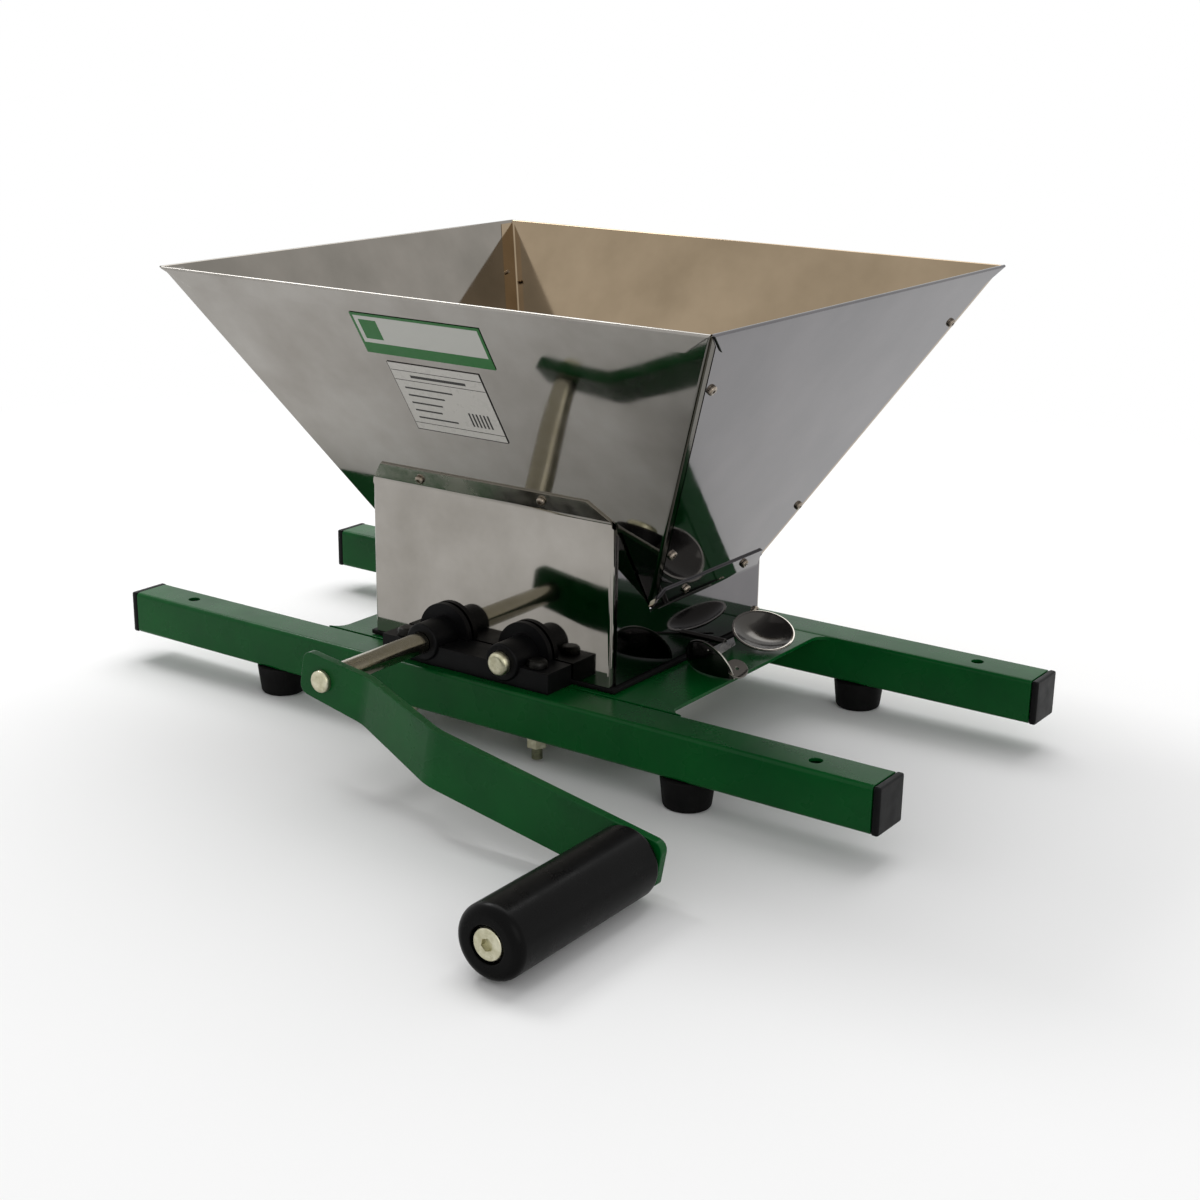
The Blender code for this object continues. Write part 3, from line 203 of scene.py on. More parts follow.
def level_edge(height: float) -> Callable[[Any], bool]:
    """A test for the level edges above a height."""
    return lambda edge: middle(edge).z > height and run(edge, UP) < LEVEL


def open_edge(edge: BMEdge) -> bool:
    """Whether an edge bounds a single face."""
    return len(edge.link_faces) == 1


def end_face(height: float) -> Callable[[Any], bool]:
    """A test for the level faces at one height of an upright piece."""
    return lambda face: (abs(face.calc_center_median().z - height) < SAME
                         and abs(face.normal.z) > FLAT)


def ring_edge(radius: float, height: float) -> Callable[[Any], bool]:
    """A test for the edges that run round an upright piece at one radius and height."""
    return lambda edge: all(abs(corner.co.xy.length - radius) < SAME
                            and abs(corner.co.z - height) < SAME for corner in edge.verts)


def extrude_edges(steps: list[Vector]) -> None:
    """Draw the selected edges out, one step after another, each adding a strip of faces."""
    for step in steps:
        bpy.ops.mesh.extrude_edges_move(TRANSFORM_OT_translate={"value": step})


def nearest(item: Object, place: Vector) -> int:
    """Number of the corner of the edited mesh that lies nearest a place."""
    mesh = bmesh.from_edit_mesh(item.data)
    return min(mesh.verts, key=lambda corner: (corner.co - place).length).index


def pull(item: Object, places: dict[int, Vector]) -> None:
    """Move numbered corners of the edited mesh to their places.

    Args:
        item: the object in edit mode.
        places: where each corner goes.
    """
    for index, place in places.items():
        pick(item, Pick.CORNERS, lambda corner, wanted=index: corner.index == wanted)
        mesh = bmesh.from_edit_mesh(item.data)
        mesh.verts.ensure_lookup_table()
        bpy.ops.transform.translate(value=place - mesh.verts[index].co)


def draw_in_ends(item: Object, along: Vector, inset: float) -> None:
    """Move both ends of the selected row of corners inwards.

    Args:
        item: the object in edit mode.
        along: the row's direction.
        inset: how far each end moves.
    """
    mesh = bmesh.from_edit_mesh(item.data)
    row = sorted((corner for corner in mesh.verts if corner.select),
                 key=lambda corner: corner.co.dot(along))
    pull(item, {row[0].index: row[0].co + along * inset,
                row[-1].index: row[-1].co - along * inset})


def slice_at(point: Vector, normal: Vector) -> None:
    """Bisect the whole edited mesh, leaving both sides.

    Args:
        point: a point on the cutting plane.
        normal: the plane's normal.
    """
    bpy.ops.mesh.select_mode(type="VERT")
    bpy.ops.mesh.select_all(action="SELECT")
    bpy.ops.mesh.bisect(plane_co=point, plane_no=normal)


def keep_above(item: Object, height: float) -> None:
    """Cut away what a closed piece has below a height, and close the cut.

    Args:
        item: the piece.
        height: where the cut is.
    """
    with editing(item):
        bpy.ops.mesh.select_all(action="SELECT")
        bpy.ops.mesh.bisect(plane_co=UP * height, plane_no=UP, clear_inner=True, use_fill=True)


def bevel(item: Object, test: Callable[[Any], bool], width: float, segments: int,
          kind: Pick = Pick.EDGES, profile: float = 0.5) -> None:
    """Round or cut off the edges or corners of the edited mesh that pass a test.

    Args:
        item: the object in edit mode.
        test: called with each of them.
        width: how far the bevel reaches.
        segments: faces across it, one for a flat cut.
        kind: edges or corners.
        profile: its fullness, 0.5 for a round one.
    """
    pick(item, kind, test)
    bpy.ops.mesh.bevel(offset=width, segments=segments, profile=profile,
                       affect="VERTICES" if kind is Pick.CORNERS else "EDGES")


def sink(item: Object, height: float, inset: float, rise: float) -> None:
    """Inset the end face of an upright piece and draw its middle up or down.

    Args:
        item: the object in edit mode.
        height: where the face is.
        inset: width of the rim that stays.
        rise: how far the middle moves up.
    """
    pick(item, Pick.FACES, end_face(height))
    bpy.ops.mesh.inset(thickness=inset)
    bpy.ops.mesh.extrude_region_move(TRANSFORM_OT_translate={"value": UP * rise})


def bore(item: Object, rim: float) -> None:
    """Open the edited upright round piece from end to end.

    Args:
        item: the object in edit mode.
        rim: width of the ring that stays.
    """
    pick(item, Pick.FACES, lambda face: abs(face.normal.z) > FLAT)
    bpy.ops.mesh.inset(thickness=rim, use_individual=True)
    bpy.ops.mesh.delete(type="FACE")
    pick(item, Pick.EDGES, open_edge)
    bpy.ops.mesh.bridge_edge_loops()
    bpy.ops.mesh.select_all(action="SELECT")
    bpy.ops.mesh.normals_make_consistent(inside=False)


# Working on whole objects


def modify(item: Object, kind: str, **settings: Any) -> None:
    """Add a modifier, set it and apply it.

    Args:
        item: the object to change.
        kind: the modifier's type.
        **settings: its settings.
    """
    hold(item)
    change = item.modifiers.new(kind, kind)
    for name, value in settings.items():
        setattr(change, name, value)
    bpy.ops.object.modifier_apply(modifier=change.name)


def thicken(item: Object, thickness: float = SHEET) -> None:
    """Give a flat piece its thickness, half of it on either side."""
    modify(item, "SOLIDIFY", thickness=thickness, offset=0.0)


def combine(item: Object, tool: Object, operation: str) -> None:
    """Join a solid to an object or cut it out, and drop the solid."""
    modify(item, "BOOLEAN", object=tool, operation=operation, solver="EXACT")
    bpy.data.objects.remove(tool)


def soften(item: Object, width: float, segments: int = 2, angle: float = 40.0) -> None:
    """Round an object's sharp edges a little.

    Args:
        item: the object.
        width: how far the rounding reaches.
        segments: faces across it.
        angle: the least fold, in degrees, that is rounded.
    """
    modify(item, "BEVEL", width=width, segments=segments, limit_method="ANGLE",
           angle_limit=math.radians(angle), harden_normals=False)


def at(x: float, y: float, z: float) -> Matrix:
    """The move from the origin to a place."""
    return Matrix.Translation((x, y, z))


def facing(normal: tuple[float, float, float]) -> Matrix:
    """The turn that brings up to a direction."""
    return UP.rotation_difference(Vector(normal)).to_matrix().to_4x4()


def basis(x_axis: Vector, y_axis: Vector, z_axis: Vector, origin: Vector) -> Matrix:
    """Make a matrix from axes and an origin.

    Args:
        x_axis: where X goes.
        y_axis: where Y goes.
        z_axis: where Z goes.
        origin: where the origin goes.

    Returns:
        The matrix.
    """
    matrix = Matrix.Identity(4)
    for column, axis in enumerate((x_axis, y_axis, z_axis, origin)):
        matrix.col[column].xyz = axis
    return matrix


def place_at(item: Object, matrix: Matrix) -> Object:
    """Put an object in its place in the machine's frame, and that into its mesh."""
    item.matrix_world = Matrix.Translation(MIDDLE) @ matrix @ item.matrix_world
    return settle(item)


def copy_to(item: Object, matrix: Matrix) -> Object:
    """Copy a modelled piece with its own mesh and put the copy in its place.

    Args:
        item: the piece, modelled at the origin.
        matrix: the copy's place in the machine's frame.

    Returns:
        The copy.
    """
    twin = item.copy()
    twin.data = item.data.copy()
    bpy.context.scene.collection.objects.link(twin)
    return place_at(twin, matrix)


def quad(corners: list[Vector]) -> Object:
    """Add a plane and pull its corners to their places.

    Args:
        corners: lower left, lower right, upper left and upper right.

    Returns:
        The plane.
    """
    bpy.ops.mesh.primitive_plane_add(size=1.0)
    item = bpy.context.object
    with editing(item):
        pull(item, dict(enumerate(corners)))
    return item


def cylinder(radius: float, low: float, high: float, sides: int = 64) -> Object:
    """Add an upright cylinder with its mesh in place.

    Args:
        radius: its radius.
        low: height of its lower end.
        high: height of its upper end.
        sides: flat faces round it.

    Returns:
        The cylinder.
    """
    bpy.ops.mesh.primitive_cylinder_add(vertices=sides, radius=radius, depth=high - low,
                                        location=UP * (high + low) / 2)
    return settle(bpy.context.object)


def cut_socket(item: Object, flats: float, floor: float, top: float) -> None:
    """Cut a hexagon socket into the top of an upright piece.

    Args:
        item: the piece.
        flats: width between its flat sides.
        floor: height of its floor.
        top: a height above the piece.
    """
    combine(item, cylinder(flats / math.sqrt(3.0), floor, top, sides=6), "DIFFERENCE")


# Finishes


# Most of a noise texture's values lie between these.
NOISE_SPAN = (0.3, 0.7)


def linear(colour: str) -> tuple[float, float, float, float]:
    """Turn an sRGB hex colour to linear values.

    Args:
        colour: six hex digits.

    Returns:
        Red, green, blue and an alpha of 1.
    """
    parts = [int(colour[start:start + 2], 16) / 255 for start in (0, 2, 4)]
    return (*(part / 12.92 if part <= 0.04045 else ((part + 0.055) / 1.055) ** 2.4
              for part in parts), 1.0)


def add_node(tree: NodeTree, kind: str, inputs: dict[Any, Any] | None = None,
             **settings: Any) -> Node:
    """Add a node with its settings, values and links.

    Args:
        tree: the node tree.
        kind: the node's type.
        inputs: a value or an output socket for each input, by name or number.
        **settings: the node's own settings.

    Returns:
        The node.
    """
    node = tree.nodes.new(kind)
    for name, value in settings.items():
        setattr(node, name, value)
    for name, value in (inputs or {}).items():
        if isinstance(value, NodeSocket):
            tree.links.new(value, node.inputs[name])
        else:
            node.inputs[name].default_value = value
    return node


@dataclass(frozen=True)
class Finish:
    """A surface of the machine: what it is made of and how it was made."""

    name: str
    colour: str
    roughness: float

    def make(self, values: dict[str, float], colours: tuple[str, str], cloud: float,
             swing: tuple[float, float], patch: float,
             layers: tuple[tuple[float, float], ...] = ()) -> Material:
        """Make the material.

        Args:
            values: shader values that are the same all over.
            colours: hex colours of the darker and the lighter spots.
            cloud: size of those spots.
            swing: least and greatest roughness, as shares of the finish's own.
            patch: size of the rougher spots.
            layers: for each relief its size and its height.

        Returns:
            The material.
        """
        made = bpy.data.materials.new(self.name)
        made.use_nodes = True
        made.diffuse_color = linear(self.colour)
        tree = made.node_tree
        shader = tree.nodes["Principled BSDF"]
        for name, value in values.items():
            shader.inputs[name].default_value = value
        place = add_node(tree, "ShaderNodeTexCoord").outputs["Object"]
        sources = {"Base Color": self.mottled(tree, place, colours, cloud),
                   "Roughness": self.uneven(tree, place, swing, patch)}
        if layers:
            sources["Normal"] = self.relief(tree, place, layers)
        for name, source in sources.items():
            tree.links.new(source, shader.inputs[name])
        return made

    def mottled(self, tree: NodeTree, place: NodeSocket,
                colours: tuple[str, str], size: float) -> NodeSocket:
        """Vary a colour softly between two.

        Args:
            tree: the node tree.
            place: the coordinates.
            colours: hex colours of the darker and the lighter spots.
            size: size of a spot.

        Returns:
            The colour's output.
        """
        noise = add_node(tree, "ShaderNodeTexNoise", {
            "Vector": place, "Scale": 1.0 / size, "Detail": 4.0, "Roughness": 0.55})
        ramp = add_node(tree, "ShaderNodeValToRGB", {"Fac": noise.outputs["Fac"]})
        for stop, position, colour in zip(ramp.color_ramp.elements, NOISE_SPAN, colours):
            stop.position = position
            stop.color = linear(colour)
        return ramp.outputs["Color"]

    def uneven(self, tree: NodeTree, place: NodeSocket,
               swing: tuple[float, float], size: float) -> NodeSocket:
        """Vary the roughness softly.

        Args:
            tree: the node tree.
            place: the coordinates.
            swing: its least and its greatest share.
            size: size of a spot.

        Returns:
            The roughness's output.
        """
        noise = add_node(tree, "ShaderNodeTexNoise", {
            "Vector": place, "Scale": 1.0 / size, "Detail": 3.0})
        return add_node(tree, "ShaderNodeMapRange", {
            "Value": noise.outputs["Fac"],
            "From Min": NOISE_SPAN[0], "From Max": NOISE_SPAN[1],
            "To Min": self.roughness * swing[0],
            "To Max": self.roughness * swing[1]}).outputs["Result"]

    def base_normal(self, tree: NodeTree, place: NodeSocket) -> NodeSocket | None:
        """The normal that the relief starts from, or None for the surface's own."""
        return None

    def relief(self, tree: NodeTree, place: NodeSocket,
               layers: tuple[tuple[float, float], ...]) -> NodeSocket:
        """Stack bumps of several sizes.

        Args:
            tree: the node tree.
            place: the coordinates.
            layers: for each bump its size and its height.

        Returns:
            The normal's output.
        """
        normal = self.base_normal(tree, place)
        for size, height in layers:
            noise = add_node(tree, "ShaderNodeTexNoise", {
                "Vector": place, "Scale": 1.0 / size, "Detail": 2.0})
            inputs = {"Height": noise.outputs["Fac"], "Strength": 1.0, "Distance": height}
            if normal is not None:
                inputs["Normal"] = normal
            normal = add_node(tree, "ShaderNodeBump", inputs).outputs["Normal"]
        return normal


@dataclass(frozen=True)
class PowderCoat(Finish):
    """Baked powder paint on steel: deep colour under a gloss with a fine orange peel."""

    shade: str = "004018"

    def build(self) -> Material:
        """Make the material, its peel about 1 mm across and a few microns deep."""
        return self.make({"IOR": 1.5, "Specular IOR Level": 0.12, "Coat Weight": 0.03,
                          "Coat Roughness": 0.1},
                         colours=(self.shade, self.colour), cloud=0.05,
                         swing=(0.85, 1.2), patch=0.02, layers=((0.0012, 0.000006),))


@dataclass(frozen=True)
class PolishedSheet(Finish):
    """Polished stainless sheet: near mirror, with cloudy rubbing marks and slight waves.

    Where it is screwed down out of true, the first turn of its normal holds everywhere, the
    second grows down the panel, and the third grows with the square of that. The other three
    do the same towards its right side. Down goes from the first height to the second, and
    right from the first side to the second.
    """

    shade: str = "8b8780"
    turns: tuple[tuple[float, float, float], ...] = ()
    heights: tuple[float, float] = (0.247, 0.127)
    sides: tuple[float, float] = (0.0, 0.12)

    def base_normal(self, tree: NodeTree, place: NodeSocket) -> NodeSocket | None:
        """Turn the normal a little, as sheet pulled out of true turns what it mirrors.

        Args:
            tree: the node tree.
            place: the coordinates.

        Returns:
            The normal's output, or None for sheet that lies true.
        """
        if not self.turns:
            return None
        parts = add_node(tree, "ShaderNodeSeparateXYZ", {"Vector": place}).outputs
        down = add_node(tree, "ShaderNodeMapRange", {
            "Value": parts["Z"], "From Min": self.heights[0],
            "From Max": self.heights[1]}).outputs["Result"]
        right = add_node(tree, "ShaderNodeMapRange", {
            "Value": parts["X"], "From Min": self.sides[0],
            "From Max": self.sides[1]}, interpolation_type="SMOOTHSTEP").outputs["Result"]
        shares = [1.0, down]
        for one, two in ((down, down), (right, 1.0), (right, down)):
            shares.append(add_node(tree, "ShaderNodeMath", {0: one, 1: two},
                                   operation="MULTIPLY").outputs[0])
        shares.append(add_node(tree, "ShaderNodeMath", {0: right, 1: shares[2]},
                               operation="MULTIPLY").outputs[0])
        normal = add_node(tree, "ShaderNodeNewGeometry").outputs["Normal"]
        for turn, share in zip(self.turns, shares):
            part = add_node(tree, "ShaderNodeVectorMath", {0: turn, "Scale": share},
                            operation="SCALE")
            normal = add_node(tree, "ShaderNodeVectorMath", {0: normal, 1: part.outputs[0]},
                              operation="ADD").outputs[0]
        return add_node(tree, "ShaderNodeVectorMath", {0: normal},
                        operation="NORMALIZE").outputs[0]

    def build(self) -> Material:
        """Make the material.

        Returns:
            The material.
        """
        # The sheet waves over a hand's width, and its grain, really finer, is drawn at
        # half a millimetre.
        return self.make({"Metallic": 1.0}, colours=(self.shade, self.colour), cloud=0.045,
                         swing=(0.7, 1.5), patch=0.018,
                         layers=((0.09, 0.00012), (0.0005, 0.0000008)))


@dataclass(frozen=True)
class Moulding(Finish):
    """Moulded plastic or rubber: a soft sheen and a fine mould texture."""

    sheen_shade: str = "0d0d0e"
    grain: float = 0.0006
    depth: float = 0.000006
    gloss: float = 0.1

    def build(self) -> Material:
        """Make the material, paler where its sheen is."""
        return self.make({"IOR": 1.5, "Specular IOR Level": self.gloss},
                         colours=(self.colour, self.sheen_shade), cloud=0.012,
                         swing=(0.85, 1.15), patch=0.008, layers=((self.grain, self.depth),))


@dataclass(frozen=True)
class BareMetal(Finish):
    """Plated, turned or cut steel: a broken-up shine with faint tarnish."""

    tarnish: str = "8d8674"
    grain: float = 0.0008
    depth: float = 0.000003

    def build(self) -> Material:
        """Make the material, its tarnish in spots of 3 mm."""
        return self.make({"Metallic": 1.0}, colours=(self.tarnish, self.colour), cloud=0.003,
                         swing=(0.8, 1.3), patch=0.002, layers=((self.grain, self.depth),))


@dataclass(frozen=True)
class Film(Finish):
    """Printed plastic film stuck on the sheet: flat colour under a thin satin varnish."""

    def build(self) -> Material:
        """Make the material, of one colour."""
        return self.make({"IOR": 1.46, "Specular IOR Level": 0.3},
                         colours=(self.colour, self.colour), cloud=0.01,
                         swing=(0.8, 1.2), patch=0.005)


class Paint(Enum):
    """The finishes of the machine."""

    # Powder paint on the rails, the plate and the crank's arm: deep green with a soft gloss.
    GREEN = PowderCoat("green_powder_coat", "00511d", 0.28)
    # Each copy of the polished sheet below has its own colour, a painted reflection: warm on the
    # rear panel, cool and darker on the right panel and the housing's side walls, darker on the
    # left panel and the latch's ear (painted shade).
    # Polished stainless, near mirror, in the tone of what each sheet mirrors. The front one is
    # sprung, by turns that put the mirrored crank where the photograph has it.
    SHEET = PolishedSheet("polished_stainless", "a19d97", 0.05)
    COOL_SHEET = PolishedSheet("polished_stainless_cool_painted_reflection", "6a686a", 0.05, "605f61")
    WARM_SHEET = PolishedSheet("polished_stainless_warm_painted_reflection", "9c8b74", 0.08, "8d7d67")
    FRONT_SHEET = PolishedSheet("polished_stainless_front", "9d9a95", 0.04, "8b8781", (
        (0.0308, 0.0119, -0.0188), (0.1003, -0.0394, 0.0623), (-0.099, -0.0069, 0.0109),
        (-0.0494, -0.0155, 0.0245), (0.037, -0.0106, 0.0168), (-0.1541, -0.0275, 0.0435)))
    SIDE_SHEET = PolishedSheet("polished_stainless_side_painted_shade", "8a857e", 0.05, "7b7770")
    # The same sheet in painted light and shade: darker and browner at the front panel's side folds
    # (painted reflection), rougher and paler on the housing's flanges (painted reflection of the
    # white surround), darker on the latch's leaves, bar and pin (painted shade), and near black on
    # the hems' slanted ends (painted shadow of the gap under each hem).
    FOLD_SHEET = PolishedSheet("polished_stainless_fold_painted_reflection", "4d493f", 0.08, "423e35")
    RUBBED_SHEET = PolishedSheet("polished_stainless_flange_painted_reflection", "a8a49c", 0.22, "989489")
    LEAF = PolishedSheet("pressed_stainless_painted_shade", "4c4a47", 0.14, "3d3b39")
    CUT_SHEET = BareMetal("hem_end_painted_shadow", "24231e", 0.4, "1b1a16")
    # Moulded plastics and rubber: the grip shines most, the feet least, the rollers are pale.
    GRIP = Moulding("gloss_black_plastic", "060606", 0.3, "070707", gloss=0.07)
    PLASTIC = Moulding("satin_black_plastic", "070708", 0.42)
    RUBBER = Moulding("black_rubber", "090909", 0.72, "100f0f", 0.0009, 0.00002)
    NYLON = Moulding("food_nylon", "c9c3ae", 0.48, "d8d3c2", 0.001, 0.00001)
    # Fasteners, shafts and gears: pale yellow zinc, a darker zinc on the bolts below the rails'
    # tops (painted shade under the rails), black oxide and bright steel.
    ZINC = BareMetal("yellow_zinc", "d2cfb8", 0.34, "aeaa8c")
    NUT_ZINC = BareMetal("zinc_painted_shade", "86886f", 0.4, "62644f")
    DARK_BOLT = BareMetal("blackened_steel", "2b2a28", 0.4, "1a1a19")
    SMALL_SCREW = BareMetal("small_screw_steel", "a0968a", 0.3, "7a6f62")
    STEEL = BareMetal("turned_steel", "a19c8e", 0.2, "98937f", 0.0008, 0.0000006)
    # The labels' printed film, satin.
    FILM_WHITE = Film("white_film", "b2b2ac", 0.35)
    FILM_GREEN = Film("green_film", "1b6126", 0.35)
    FILM_GREY = Film("clear_film", "b7b4ae", 0.3)
    FILM_BLACK = Film("black_ink", "2c2b29", 0.4)


@cache
def mixed(paint: Paint) -> Material:
    """The material of a finish, made at its first use."""
    return paint.value.build()


# Finishing pieces


def finish_piece(item: Object, name: str, paint: Paint, nodes: tuple[str, ...] = (),
                 body: Body = Body.FRAME, angle: float = 35.0) -> None:
    """Shade, name and colour a piece, and hang it on its body.

    Args:
        item: the piece, with its mesh in place.
        name: the piece's name.
        paint: its finish.
        nodes: the CAD nodes that it stands for.
        body: the body that it rides on.
        angle: edges that fold more than this, in degrees, stay sharp.
    """
    hold(item)
    bpy.ops.object.shade_smooth_by_angle(angle=math.radians(angle))
    modify(item, "WEIGHTED_NORMAL", weight=100, keep_sharp=True)
    item.name = name
    item.data.name = name
    item.data.materials.clear()
    item.data.materials.append(mixed(paint))
    if nodes:
        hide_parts(*nodes)
    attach(item, body.value)
    log.info("%s rides on %s", name, body.value)


def paint_faces(item: Object, paint: Paint, test: Callable[[Any], bool]) -> None:
    """Give the faces of a finished piece that pass a test another finish.

    Args:
        item: the piece.
        paint: the other finish.
        test: called with each face.
    """
    item.data.materials.append(mixed(paint))
    for face in item.data.polygons:
        if test(face):
            face.material_index = len(item.data.materials) - 1


def copy_node(frame: dict[str, Any], node: str) -> Object:
    """Copy a CAD node and weld its loose triangles into whole faces.

    Args:
        frame: the loaded frame.
        node: the node's name.

    Returns:
        The copy.
    """
    source = frame["nodes"][node]
    item = bpy.data.objects.new(f"{node}_copy", source.data.copy())
    bpy.context.scene.collection.objects.link(item)
    with editing(item):
        bpy.ops.mesh.select_all(action="SELECT")
        bpy.ops.mesh.remove_doubles(threshold=0.00001)
        bpy.ops.mesh.dissolve_limited(angle_limit=math.radians(0.5))
    return item


def take_over(frame: dict[str, Any], node: str, ending: str, paint: Paint, width: float,
              body: Body = Body.FRAME, segments: int = 2, angle: float = 35.0) -> None:
    """Copy a CAD node, soften its edges and finish it.

    Args:
        frame: the loaded frame.
        node: the node's name.
        ending: what the piece's name adds to it.
        paint: its finish.
        width: how far its edges are rounded, or 0 for not at all.
        body: the body that it rides on.
        segments: faces across the rounding.
        angle: edges that fold more than this, in degrees, stay sharp.
    """
    item = copy_node(frame, node)
    if width:
        soften(item, width, segments)
    finish_piece(item, f"{node}_{ending}", paint, (node,), body, angle=angle)


# The machine


@dataclass(frozen=True)
class LeaningSide:
    """One leaning side of the hopper, by its outer face."""

    name: str
    outward: Vector
    throat: float
    rim: float

    @property
    def slope(self) -> float:
        """How far the face leans out for each metre of height."""
        return (self.rim - self.throat) / (RIM_Z - THROAT_Z)

    @property
    def stretch(self) -> float:
        """Length up the face for each metre of height."""
        return math.hypot(1.0, self.slope)

    @property
    def normal(self) -> Vector:
        """The face's outward normal."""
        return (self.outward - self.slope * UP) / self.stretch

    @property
    def climb(self) -> Vector:
        """The direction up the face."""
        return (self.slope * self.outward + UP) / self.stretch

    @property
    def along(self) -> Vector:
        """The level direction along the face, to the right from outside."""
        return UP.cross(self.outward)

    def reach(self, z: float, lift: float = 0.0) -> float:
        """Distance from the middle to the face, lifted off along its normal, at a height."""
        return self.throat + self.slope * (z - THROAT_Z) + lift * self.stretch

    def height(self, reach: float) -> float:
        """Height at which the face is a given distance from the middle."""
        return THROAT_Z + (reach - self.throat) / self.slope

    def spot(self, across: float, z: float, lift: float) -> Vector:
        """A point of the face in the world, lifted off along its normal."""
        return (MIDDLE + self.outward * self.reach(z) + self.along * across
                + UP * z + self.normal * lift)


SIDES = {side.name: side for side in (
    LeaningSide("front", -BACKWARD, 0.0422, 0.1483),
    LeaningSide("right", RIGHTWARD, 0.083, 0.1815),
    LeaningSide("rear", BACKWARD, 0.071, 0.1588),
    LeaningSide("left", -RIGHTWARD, 0.083, 0.1644))}


@dataclass(frozen=True)
class Patch:
    """A plain printed area of a label, by shares of the label's width and height."""

    left: float
    low: float
    right: float
    high: float
    ink: int = 0


@dataclass(frozen=True)
class Label:
    """A film label stuck on the hopper's front panel, printed with plain areas only."""

    name: str
    low: tuple[float, float]
    high: tuple[float, float]
    inks: tuple[Paint, ...]
    patches: tuple[Patch, ...]
    lift: float = 0.0003
    thickness: float = 0.00012

    def cuts(self, ends: tuple[str, str]) -> list[float]:
        """The shares, in order, at which printed areas begin or end inside the label."""
        return sorted({getattr(patch, end) for patch in self.patches for end in ends} - {0.0, 1.0})

    def build(self) -> None:
        """Build the film, cut along its printed areas."""
        left, low = self.low
        width, height = self.high[0] - left, self.high[1] - low
        item = quad([SIDES["front"].spot(x, z, self.lift) for z in (low, self.high[1])
                     for x in (left, self.high[0])])
        with editing(item):
            for share in self.cuts(("left", "right")):
                slice_at(RIGHTWARD * (left + share * width), RIGHTWARD)
            for share in self.cuts(("low", "high")):
                slice_at(UP * (low + share * height), UP)
        modify(item, "SOLIDIFY", thickness=self.thickness, offset=1.0)
        finish_piece(item, self.name, self.inks[0])
        for ink in self.inks[1:]:
            item.data.materials.append(mixed(ink))
        for face in item.data.polygons:
            across = (face.center.x - left) / width
            level = (face.center.z - low) / height
            for patch in self.patches:
                if patch.left < across < patch.right and patch.low < level < patch.high:
                    face.material_index = patch.ink


